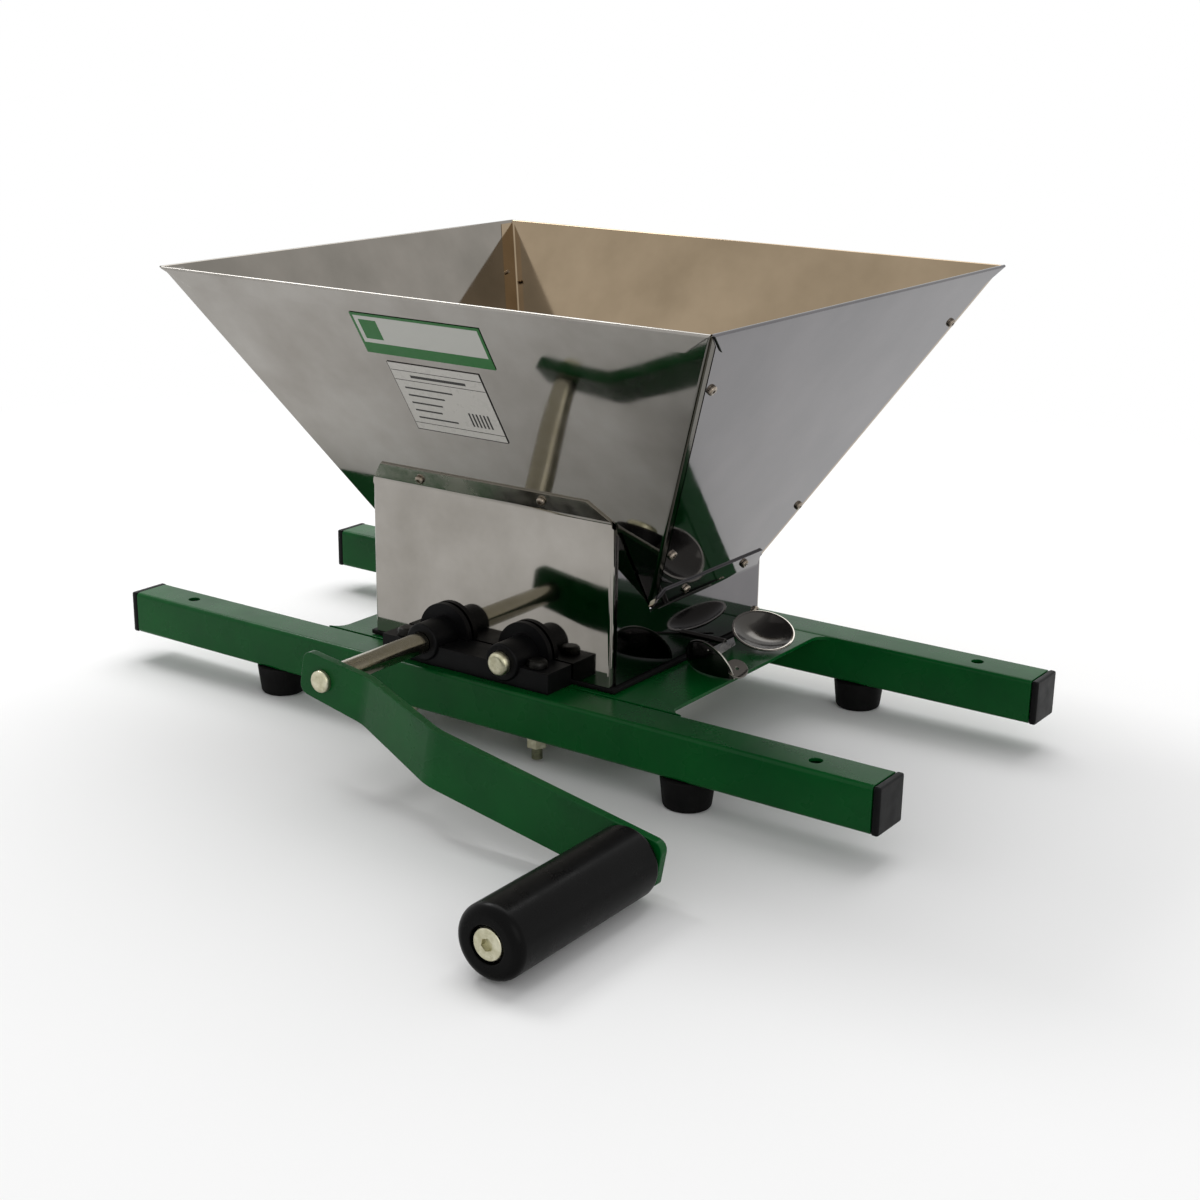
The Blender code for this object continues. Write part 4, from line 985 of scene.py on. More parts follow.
@dataclass
class Hopper:
    """Four polished panels with hemmed rims, screwed together along their corners."""

    hem_width: float = 0.011
    hem_relief: float = 0.0155
    hem_lift: float = 0.0007
    hem_round: float = 0.000525
    hem_outer: float = 0.0012
    burr: float = 0.0007
    flange_depth: float = 0.013
    flange_lift: float = -0.0008
    flange_low: float = THROAT_Z + 0.004
    flange_high: float = RIM_Z - 0.0014
    bend: float = 0.0012
    side_setback: float = 0.0055
    shoulder: float = RIM_Z - 0.0066
    # Level edges above the first height are the rim's, above the second also the fold's. A hem
    # shows below the third.
    rim_edge: float = RIM_Z - 0.0003
    fold_edge: float = RIM_Z - 0.0012
    hem_top: float = RIM_Z - 0.002
    # How far edges on a hem's slanted ends run along the side, and how far faces turn that
    # are folded round a corner or cut aslant.
    slant_run: tuple[float, float] = (0.2, 0.97)
    folded: float = 0.6
    cut: float = 0.25

    def meeting(self, one: LeaningSide, two: LeaningSide, z: float) -> Vector:
        """Where a panel's middle layer meets the flange behind its neighbour, at a height."""
        return (MIDDLE + one.outward * one.reach(z, -SHEET / 2)
                + two.outward * two.reach(z, self.flange_lift) + UP * z)

    def hem(self, item: Object, side: LeaningSide) -> None:
        """Fold a panel's rim outwards and press it flat on the panel, with its ends cut aslant.

        Args:
            item: the panel in edit mode.
            side: the side that it lies on.
        """
        pick(item, Pick.EDGES, level_edge(self.rim_edge))
        extrude_edges([side.normal * self.hem_outer, -side.climb * self.hem_width])
        draw_in_ends(item, side.along, self.hem_relief)
        bevel(item, level_edge(self.fold_edge), self.hem_round, 3)

    def ease_hem_ends(self, item: Object, side: LeaningSide) -> None:
        """Take the burr off the slanted ends of a hem, on its outer face.

        Args:
            item: the panel.
            side: the side that it lies on.
        """
        low, high = self.slant_run
        with editing(item):
            bevel(item, lambda edge: (
                self.on_slant(side, middle(edge), self.hem_outer - SHEET / 10)
                and run(edge, side.normal) < STEEP and low < run(edge, side.along) < high),
                self.burr, 2)

    def on_slant(self, side: LeaningSide, place: Vector, lift: float) -> bool:
        """Whether a point below the fold lies further off a side than a lift."""
        return ((place - side.spot(0.0, RIM_Z, 0.0)).dot(side.normal) > lift
                and place.z < self.hem_top)

    def wrapped_panel(self, side: LeaningSide, left: LeaningSide, right: LeaningSide) -> Object:
        """A front or rear panel, whose side edges bend round behind its neighbours.

        Args:
            side: the side that the panel lies on.
            left: the neighbour on its left, from outside.
            right: the neighbour on its right.

        Returns:
            The panel.
        """
        low, high = self.flange_low, self.flange_high
        item = quad([self.meeting(side, end, z) for z in (THROAT_Z, RIM_Z)
                     for end in (left, right)])
        with editing(item):
            slice_at(UP * low, UP)
            slice_at(UP * high, UP)
            for end in (left, right):
                pick(item, Pick.EDGES, lambda edge: low < middle(edge).z < high
                     and middle(edge).dot(end.outward) > 0.0 and run(edge, UP) > STEEP)
                extrude_edges([-side.outward * self.flange_depth])
                corner = (self.meeting(side, end, low) + self.meeting(side, end, high)) / 2
                bevel(item, edge_at(corner), self.bend, 3)
            self.hem(item, side)
        thicken(item)
        return item

    def lapped_panel(self, side: LeaningSide, left: LeaningSide, right: LeaningSide) -> Object:
        """A left or right panel, which laps over its neighbours' flanges.

        Args:
            side: the side that the panel lies on.
            left: the neighbour on its left, from outside.
            right: the neighbour on its right.

        Returns:
            The panel.
        """
        ends = ((left, -1.0), (right, 1.0))
        item = quad([side.spot(sign * (end.reach(z) - self.side_setback), z, -SHEET / 2)
                     for z in (THROAT_Z, self.shoulder) for end, sign in ends])
        with editing(item):
            pick(item, Pick.EDGES, level_edge(self.shoulder - SAME))
            extrude_edges([side.climb * (RIM_Z - self.shoulder) * side.stretch])
            for end, sign in ends:
                place = side.spot(sign * end.reach(RIM_Z), RIM_Z, -SHEET / 2)
                pull(item, {nearest(item, place): place})
            self.hem(item, side)
        thicken(item)
        return item

    def build(self) -> None:
        """Build the panels and the labels."""
        # Each panel takes its own copy of the sheet, its colour a painted reflection of what it
        # mirrors.
        for name, left, right, build, paint in (
                ("front", "left", "right", self.wrapped_panel, Paint.FRONT_SHEET),
                ("rear", "right", "left", self.wrapped_panel, Paint.WARM_SHEET),
                ("right", "front", "rear", self.lapped_panel, Paint.COOL_SHEET),
                ("left", "rear", "front", self.lapped_panel, Paint.SIDE_SHEET)):
            side, ends = SIDES[name], (SIDES[left], SIDES[right])
            item = build(side, *ends)
            self.ease_hem_ends(item, side)
            finish_piece(item, f"hopper_{name}_panel", paint, (f"hopper_{name}",))
            # The front panel's side folds take a darker, browner sheet: painted reflection.
            if name == "front":
                paint_faces(item, Paint.FOLD_SHEET, lambda face: max(
                    face.normal.dot(end.normal) for end in ends) > self.folded)
            # The hems' slanted ends take a near-black finish: painted shadow of the gap under each
            # hem.
            paint_faces(item, Paint.CUT_SHEET, lambda face: (
                self.on_slant(side, face.center, self.hem_lift / 2)
                and abs(face.normal.dot(side.along)) > self.cut
                and face.normal.dot(side.normal) > -self.cut))
        self.build_labels()

    def build_labels(self) -> None:
        """Build the two labels, a framed banner and a ruled data field, both without words."""
        Label("banner_label", (-0.037, 0.2165), (0.046, 0.2385),
              (Paint.FILM_GREEN, Paint.FILM_WHITE), (
            Patch(0.0, 0.0, 1.0, 1.0), Patch(0.02, 0.26, 0.98, 0.93, 1),
            Patch(0.05, 0.36, 0.19, 0.84))).build()
        rules = tuple(Patch(0.08, level, 0.08 + length, level + 0.025) for level, length in (
            (0.62, 0.52), (0.51, 0.4), (0.40, 0.34), (0.29, 0.3), (0.18, 0.44)))
        bars = tuple(Patch(left, 0.18, left + 0.02, 0.38)
                     for left in (0.68, 0.72, 0.76, 0.8, 0.84, 0.88))
        Label("field_label", (-0.027, 0.1735), (0.033, 0.2125),
              (Paint.FILM_BLACK, Paint.FILM_GREY), (
            Patch(0.0, 0.0, 1.0, 1.0), Patch(0.006, 0.008, 0.994, 0.992, 1),
            Patch(0.01, 0.88, 0.99, 0.89), Patch(0.2, 0.79, 0.8, 0.83),
            Patch(0.01, 0.74, 0.99, 0.75), Patch(0.01, 0.1, 0.99, 0.11)) + rules + bars).build()


@dataclass
class Housing:
    """Four upright walls with flanges that lie on the hopper, a gasket and inner sheets."""

    frame: dict[str, Any]
    half_width: float = 0.0825
    half_depth: float = 0.0763
    bottom: float = 0.0453
    flange_length: float = 0.013
    flange_lift: float = 0.0006
    mitre: float = 0.0115
    side_mitre: float = 0.0055
    bend: float = 0.0014
    corner_gap: float = 0.0002
    corner_stop: float = 0.004
    corner_return: float = 0.012
    side_setback: float = 0.0042
    slant_gap: float = 0.0006
    slant_drop: float = 0.0015

    def fold_height(self, side: LeaningSide, wall: float) -> float:
        """Height at which a wall's flange leaves it to lie on the hopper."""
        return side.height(wall - self.flange_lift * side.stretch)

    def long_wall(self, side: LeaningSide) -> Object:
        """A front or rear wall, whose ends bend round behind the side walls.

        Args:
            side: the hopper side above the wall.

        Returns:
            The wall.
        """
        wall = self.half_depth - SHEET / 2
        fold = self.fold_height(side, wall)
        half = self.half_width - 1.5 * SHEET - self.corner_gap
        stop = fold - self.corner_stop
        base = MIDDLE + side.outward * wall
        item = quad([base + side.along * x + UP * z for z in (self.bottom, fold)
                     for x in (-half, half)])
        with editing(item):
            pick(item, Pick.EDGES, lambda edge: abs(middle(edge).z - fold) < SAME)
            extrude_edges([side.climb * self.flange_length])
            draw_in_ends(item, side.along, self.mitre)
            bevel(item, lambda edge: abs(middle(edge).z - fold) < SAME, self.bend, 3)
            slice_at(UP * stop, UP)
            for sign in (-1.0, 1.0):
                corner = edge_at(base + side.along * half * sign + UP * (self.bottom + stop) / 2)
                pick(item, Pick.EDGES, corner)
                extrude_edges([-side.outward * self.corner_return])
                bevel(item, corner, self.bend, 4)
        thicken(item)
        return item

    def side_wall(self, side: LeaningSide) -> Object:
        """A left or right wall, cut aslant under the hopper's front and rear panels.

        Args:
            side: the hopper side above the wall.

        Returns:
            The wall.
        """
        front, rear = SIDES["front"], SIDES["rear"]
        wall = self.half_width - SHEET / 2
        fold = self.fold_height(side, wall)
        ahead = self.half_depth - self.side_setback
        base = MIDDLE + side.outward * wall
        slant = front.height(ahead - self.slant_drop)
        item = quad([base + Vector((0.0, y, z)) for y, z in (
            (-ahead, self.bottom), (ahead, self.bottom),
            (-ahead, slant), (ahead, rear.height(ahead - self.slant_drop)))])
        ends = (-front.reach(fold) - self.slant_gap, rear.reach(fold) + self.slant_gap)
        with editing(item):
            for y in ends:
                slice_at(MIDDLE + BACKWARD * y, BACKWARD)
            for y in ends:
                top = nearest(item, base + Vector((0.0, y, slant)))
                pull(item, {top: base + Vector((0.0, y, fold))})
            top_edge = edge_at(base + Vector((0.0, sum(ends) / 2, fold)))
            pick(item, Pick.EDGES, top_edge)
            extrude_edges([side.climb * self.flange_length])
            for y, sign in zip(ends, (1.0, -1.0)):
                tip = base + Vector((0.0, y, fold)) + side.climb * self.flange_length
                pull(item, {nearest(item, tip): tip + BACKWARD * self.side_mitre * sign})
            bevel(item, top_edge, self.bend, 3)
        thicken(item)
        return item

    def build(self) -> None:
        """Build the four walls, the gasket and the inner sheets."""
        for name in ("front", "rear"):
            item = self.long_wall(SIDES[name])
            finish_piece(item, f"housing_{name}_wall", Paint.SHEET, (f"housing_{name}",))
            # The flanges that lie on the hopper take a rougher, paler sheet: painted reflection of
            # the white surround.
            flange = self.fold_height(SIDES[name], self.half_depth - SHEET / 2) + self.bend
            paint_faces(item, Paint.RUBBED_SHEET, lambda face: face.center.z > flange)
        # The side walls take the cool, darker sheet: painted reflection.
        for name in ("left", "right"):
            finish_piece(self.side_wall(SIDES[name]), f"housing_{name}_wall",
                         Paint.COOL_SHEET, (f"housing_{name}",))
        for node, paint, width in (
                ("gasket", Paint.RUBBER, 0.0008), ("gear_guard", Paint.SHEET, 0.0001),
                ("side_guide_left", Paint.SHEET, 0.0002),
                ("side_guide_right", Paint.SHEET, 0.0002)):
            take_over(self.frame, node, "sheet", paint, width)


@dataclass
class Chassis:
    """Painted rails and base plate, with end caps and rubber feet."""

    frame: dict[str, Any]
    rail_line: float = 0.092
    rail_edge: float = 0.001
    plate_edge: float = 0.0004
    foot_offset: float = 0.141
    foot_height: float = 0.0167
    foot_top: float = 0.0145
    foot_bottom: float = 0.0125
    foot_edge: float = 0.0018
    recess_radius: float = 0.006
    recess_depth: float = 0.006

    def foot(self) -> Object:
        """One foot: a short rubber cone with a recess for its fixing below.

        Returns:
            The foot.
        """
        bpy.ops.mesh.primitive_cone_add(
            vertices=64, radius1=self.foot_bottom, radius2=self.foot_top,
            depth=self.foot_height, location=UP * self.foot_height / 2)
        item = settle(bpy.context.object)
        with editing(item):
            sink(item, 0.0, self.foot_bottom - self.recess_radius, self.recess_depth)
            bevel(item, ring_edge(self.foot_bottom, 0.0), self.foot_edge, 4)
            bevel(item, ring_edge(self.foot_top, self.foot_height), self.foot_edge / 2, 3)
        return item

    def build(self) -> None:
        """Build rails, plate, latch lug, caps and feet."""
        for node, width in (("front_rail", self.rail_edge), ("rear_rail", self.rail_edge),
                            ("base_plate", self.plate_edge), ("latch_lug", self.plate_edge)):
            take_over(self.frame, node, "painted", Paint.GREEN, width, segments=3)
        pattern = self.foot()
        for line, y in (("front", -self.rail_line), ("rear", self.rail_line)):
            for end, x in (("left", -self.foot_offset), ("right", self.foot_offset)):
                node = f"{line}_foot_{end}"
                finish_piece(copy_to(pattern, at(x, y, 0.0)), f"{node}_rubber",
                             Paint.RUBBER, (node,))
                take_over(self.frame, f"{line}_cap_{end}", "plug", Paint.PLASTIC, 0.0, angle=50.0)
        bpy.data.objects.remove(pattern)


@dataclass(frozen=True)
class Screw:
    """A domed screw, its head's seat at height 0, with or without a socket in its crown.

    The dome and the socket's floor are shares of the head's height.
    """

    head: float
    height: float
    shank: float
    length: float
    flats: float = 0.0
    dome: float = 0.72
    fullness: float = 0.6
    floor: float = 0.45

    def build(self) -> Object:
        """Model the screw.

        Returns:
            The screw.
        """
        item = cylinder(self.head, 0.0, self.height, sides=40)
        with editing(item):
            bevel(item, ring_edge(self.head, self.height), self.height * self.dome, 5,
                  profile=self.fullness)
            sink(item, 0.0, self.head - self.shank, -self.length)
        if self.flats:
            cut_socket(item, self.flats, self.height * self.floor, self.height * 2)
        return item


@dataclass
class Screws:
    """Bracket bolts with their nuts, shaft end screws and the small screws of the sheets."""

    frame: dict[str, Any]
    bolt: Screw = Screw(head=0.0055, height=0.004, shank=0.003, length=0.052)
    bolt_line: float = 0.091
    bolt_offset: float = 0.045
    bolt_seat: float = RAIL_TOP + 0.0119
    nut_drop: float = 0.003
    nut_edge: float = 0.0004
    end_screw: Screw = Screw(head=0.0065, height=0.0042, shank=0.003, length=0.014)
    end_seat: float = 0.1003
    small: Screw = Screw(head=0.0026, height=0.0016, shank=0.0012, length=0.003, flats=0.0018)
    flange_lift: float = 0.0013
    seam_lift: float = 0.0001
    seam_offset: float = 0.0105
    flange_spots: tuple[tuple[str, float, float], ...] = (
        ("front", -0.044, 0.140), ("front", 0.039, 0.1413),
        ("rear", -0.044, 0.0985), ("rear", 0.044, 0.0985),
        ("right", -0.0125, 0.0862), ("right", 0.048, 0.0868),
        ("left", -0.048, 0.0865), ("left", 0.0125, 0.0865))
    seam_heights: tuple[float, float] = (0.1165, 0.220)
    wall_spot: tuple[float, float, float] = (0.0826, 0.0695, 0.0521)

    def build(self) -> None:
        """Build the screws and the nuts."""
        pattern = self.bolt.build()
        for line, y in (("front", -self.bolt_line), ("rear", self.bolt_line)):
            for end, x in (("left", -self.bolt_offset), ("right", self.bolt_offset)):
                node = f"{line}_bracket_bolt_{end}"
                item = copy_to(pattern, at(x, y, self.bolt_seat))
                finish_piece(item, f"{node}_dark", Paint.DARK_BOLT, (node,))
                # Below the rail's top the bolt takes a darker zinc: painted shade under the rail.
                paint_faces(item, Paint.NUT_ZINC, lambda face: face.center.z < RAIL_TOP)
                self.build_nut(f"{line}_bracket_nut_{end}")
        bpy.data.objects.remove(pattern)
        pattern = self.end_screw.build()
        for node, x, y, turn, body in (
                ("driven_end_screw_front", SHAFT_LINE, -self.end_seat, ALONG_Y, Body.DRIVEN),
                ("driven_end_screw_rear", SHAFT_LINE, self.end_seat, AGAINST_Y, Body.DRIVEN),
                ("drive_end_screw_rear", -SHAFT_LINE, self.end_seat, AGAINST_Y, Body.CRANK)):
            finish_piece(copy_to(pattern, at(x, y, SHAFT_Z) @ turn), f"{node}_zinc",
                         Paint.ZINC, (node,), body)
        bpy.data.objects.remove(pattern)
        self.build_small()

    def build_nut(self, node: str) -> None:
        """Take over a bracket bolt's nut, made deeper downwards.

        Args:
            node: the nut's node.
        """
        nut = copy_node(self.frame, node)
        foot = min(corner.co.z for corner in nut.data.vertices)
        with editing(nut):
            pick(nut, Pick.CORNERS, lambda corner: corner.co.z < foot + NEAR)
            bpy.ops.transform.translate(value=UP * -self.nut_drop)
        soften(nut, self.nut_edge)
        finish_piece(nut, f"{node}_zinc", Paint.ZINC, (node,))

    def build_small(self) -> None:
        """Build the small screws along the hopper's seams and the housing's flanges."""
        pattern = self.small.build()
        spots = [(SIDES[name], across, z, self.flange_lift)
                 for name, across, z in self.flange_spots]
        for name, low, high in (("right", "front", "rear"), ("left", "rear", "front")):
            for z in self.seam_heights:
                for end, sign in ((low, -1.0), (high, 1.0)):
                    across = sign * (SIDES[end].reach(z) - self.seam_offset)
                    spots.append((SIDES[name], across, z, self.seam_lift))
        for number, (side, across, z, lift) in enumerate(spots):
            place = basis(side.along, side.climb, side.normal,
                          side.spot(across, z, lift) - MIDDLE)
            finish_piece(copy_to(pattern, place), f"small_screw_{number:02d}",
                         Paint.SMALL_SCREW)
        x, y, z = self.wall_spot
        for name, sign in (("right", 1.0), ("left", -1.0)):
            turn = Matrix.Rotation(sign * math.radians(90.0), 4, "Y")
            finish_piece(copy_to(pattern, at(sign * x, y, z) @ turn), f"wall_screw_{name}",
                         Paint.SMALL_SCREW)
        bpy.data.objects.remove(pattern)


@dataclass
class Bearings:
    """Moulded brackets with round lobes, and the sleeves that the shafts turn in."""

    half_length: float = 0.057
    inner_face: float = 0.0772
    outer_face: float = 0.098
    seat: float = RAIL_TOP + 0.0003
    top: float = RAIL_TOP + 0.0116
    lobe_radius: float = 0.0172
    lobe_thickness: float = 0.0033
    lobe_foot: float = RAIL_TOP + 0.001
    edge: float = 0.0007
    sleeve_radius: float = 0.0105
    sleeve_bore: float = 0.0063
    sleeve_inner: float = 0.0715
    sleeve_outer: float = 0.100
    sleeve_nose: float = 0.0012

    def bracket(self) -> Object:
        """One bracket, modelled for the front rail.

        Returns:
            The bracket.
        """
        low = Vector((-self.half_length, -self.outer_face, self.seat))
        size = Vector((self.half_length, -self.inner_face, self.top)) - low
        bpy.ops.mesh.primitive_cube_add(size=1.0, location=low + size / 2, scale=size)
        item = settle(bpy.context.object)
        for x in (-SHAFT_LINE, SHAFT_LINE):
            lobe = cylinder(self.lobe_radius, self.inner_face,
                            self.inner_face + self.lobe_thickness, sides=72)
            lobe.matrix_world = at(x, 0.0, SHAFT_Z) @ ALONG_Y
            keep_above(settle(lobe), self.lobe_foot)
            combine(item, lobe, "UNION")
        soften(item, self.edge, segments=3)
        return item

    def sleeve(self) -> Object:
        """One sleeve, upright, with its bore through it and its nose rounded.

        Returns:
            The sleeve.
        """
        item = cylinder(self.sleeve_radius, self.sleeve_inner, self.sleeve_outer)
        with editing(item):
            bore(item, self.sleeve_radius - self.sleeve_bore)
            bevel(item, ring_edge(self.sleeve_radius, self.sleeve_outer), self.sleeve_nose, 4)
        return item

    def build(self) -> None:
        """Build both brackets and the four sleeves."""
        pattern = self.bracket()
        for line, turn in (("front", 0.0), ("rear", math.pi)):
            finish_piece(copy_to(pattern, Matrix.Rotation(turn, 4, "Z")),
                         f"{line}_bracket_moulding", Paint.PLASTIC,
                         (f"{line}_bearing_bracket",))
        bpy.data.objects.remove(pattern)
        pattern = self.sleeve()
        for line, turn in (("front", ALONG_Y), ("rear", AGAINST_Y)):
            for name, x in (("drive", -SHAFT_LINE), ("driven", SHAFT_LINE)):
                node = f"{name}_bush_{line}"
                finish_piece(copy_to(pattern, at(x, 0.0, SHAFT_Z) @ turn), f"{node}_sleeve",
                             Paint.PLASTIC, (node,))
        bpy.data.objects.remove(pattern)


@dataclass
class Crank:
    """Cranked arm with its bolt, and the turning grip on its axle."""

    frame: dict[str, Any]
    radius: float = 0.2076
    thickness: float = 0.005
    inner_face: float = 0.178
    joggle: float = 0.020
    tail: float = 0.015
    first_bend: float = 0.029
    second_bend: float = 0.089
    nose: float = 0.016
    half_widths: tuple[float, float, float] = (0.0118, 0.0132, 0.015)
    corner: float = 0.005
    chamfer: float = 0.009
    bend: float = 0.004
    edge: float = 0.0006
    bolt: Screw = Screw(head=0.006, height=0.0032, shank=0.003, length=0.02)
    bolt_seat: float = 0.1783
    grip_radius: float = 0.0175
    grip_gap: float = 0.0006
    grip_length: float = 0.103
    grip_edge: float = 0.005
    recess_radius: float = 0.0088
    recess_depth: float = 0.004
    recess_edge: float = 0.0006
    head_radius: float = 0.0075
    head_edge: float = 0.0008
    head_sunk: float = 0.0003
    head_height: float = 0.0034
    socket_flats: float = 0.0055
    socket_floor: float = 0.0008
    nut_edge: float = 0.0005

    @property
    def hub(self) -> Matrix:
        """The crank's own frame: X along the arm."""
        return at(-SHAFT_LINE, 0.0, SHAFT_Z) @ Matrix.Rotation(CRANK_ANGLE, 4, "Y")

    @property
    def grip_end(self) -> float:
        """How far out the grip ends."""
        return self.inner_face + self.joggle + self.grip_gap + self.grip_length

    def arm(self) -> Object:
        """The arm: a flat bar with a joggle, rounded at its tail and cut at its nose.

        Returns:
            The arm.
        """
        near = -(self.inner_face - self.thickness / 2)
        far = near - self.joggle
        end = self.radius + self.nose
        tail, bend, wide = self.half_widths
        item = quad([Vector(corner) for corner in (
            (-self.tail, near, -tail), (self.first_bend, near, -bend),
            (-self.tail, near, tail), (self.first_bend, near, bend))])
        with editing(item):
            pick(item, Pick.EDGES, lambda edge: abs(middle(edge).x - self.first_bend) < SAME)
            extrude_edges([Vector((self.second_bend - self.first_bend, far - near, 0.0)),
                           RIGHTWARD * (end - self.second_bend)])
            pull(item, {nearest(item, Vector((x, far, sign * bend))): Vector((x, far, sign * wide))
                        for x in (self.second_bend, end) for sign in (-1.0, 1.0)})
            bevel(item, lambda edge: abs(middle(edge).z) < SAME and any(
                abs(middle(edge).x - x) < SAME for x in (self.first_bend, self.second_bend)),
                self.bend, 4)
            bevel(item, lambda corner: corner.co.x < -self.tail + SAME, self.corner, 4,
                  Pick.CORNERS)
            for sign, width, segments in ((1.0, self.corner, 4), (-1.0, self.chamfer, 1)):
                bevel(item, lambda corner: corner.co.x > end - SAME and corner.co.z * sign > 0.0,
                      width, segments, Pick.CORNERS)
        thicken(item, self.thickness)
        soften(item, self.edge, segments=3)
        return place_at(item, self.hub)

    def grip(self) -> Object:
        """The grip: a plain bar with a rounded end and a recess for the axle's head.

        Returns:
            The grip.
        """
        inner, outer = self.grip_end - self.grip_length, self.grip_end
        item = cylinder(self.grip_radius, inner, outer, sides=96)
        with editing(item):
            sink(item, outer, self.grip_radius - self.recess_radius, -self.recess_depth)
            for radius, height, width, segments in (
                    (self.grip_radius, outer, self.grip_edge, 8),
                    (self.grip_radius, inner, self.grip_edge / 2, 4),
                    (self.recess_radius, outer, self.recess_edge, 3)):
                bevel(item, ring_edge(radius, height), width, segments)
        return item

    def axle(self) -> Object:
        """The axle's head: a flat disc with a hexagon socket.

        Returns:
            The head.
        """
        top = self.grip_end - self.head_sunk
        base = top - self.head_height
        item = cylinder(self.head_radius, base, top, sides=48)
        with editing(item):
            bevel(item, ring_edge(self.head_radius, top), self.head_edge, 3)
        cut_socket(item, self.socket_flats, base + self.socket_floor, top + SHEET)
        return item

    def build(self) -> None:
        """Build arm, bolt, grip, axle and nut."""
        finish_piece(self.arm(), "crank_arm_painted", Paint.GREEN, ("crank_arm",), Body.CRANK)
        bolt = place_at(self.bolt.build(), self.hub @ at(0.0, -self.bolt_seat, 0.0) @ ALONG_Y)
        finish_piece(bolt, "crank_bolt_zinc", Paint.ZINC, ("crank_bolt",), Body.CRANK)
        place = self.hub @ at(self.radius, 0.0, 0.0) @ ALONG_Y
        finish_piece(place_at(self.grip(), place), "grip_moulding", Paint.GRIP, ("grip",),
                     Body.HANDLE)
        finish_piece(place_at(self.axle(), place), "grip_axle_head", Paint.ZINC,
                     ("grip_axle",), Body.CRANK)
        take_over(self.frame, "grip_axle_nut", "zinc", Paint.ZINC, self.nut_edge, Body.CRANK)


@dataclass
class DriveTrain:
    """Shafts, rollers and gears, taken over from the frame with their edges softened."""

    frame: dict[str, Any]

    def build(self) -> None:
        """Take over each node of both shafts, and colour the pins where they are."""
        for name, body in (("drive", Body.CRANK), ("driven", Body.DRIVEN)):
            for part, paint, width in (("shaft", Paint.STEEL, 0.0004),
                                       ("roller", Paint.NYLON, 0.0006),
                                       ("gear", Paint.STEEL, 0.0002)):
                take_over(self.frame, f"{name}_{part}", "smooth", paint, width, body, angle=40.0)
            for part in ("roller_pin", "gear_pin"):
                for place in self.frame["nodes"][f"{name}_{part}"].material_slots:
                    place.material = mixed(Paint.STEEL)


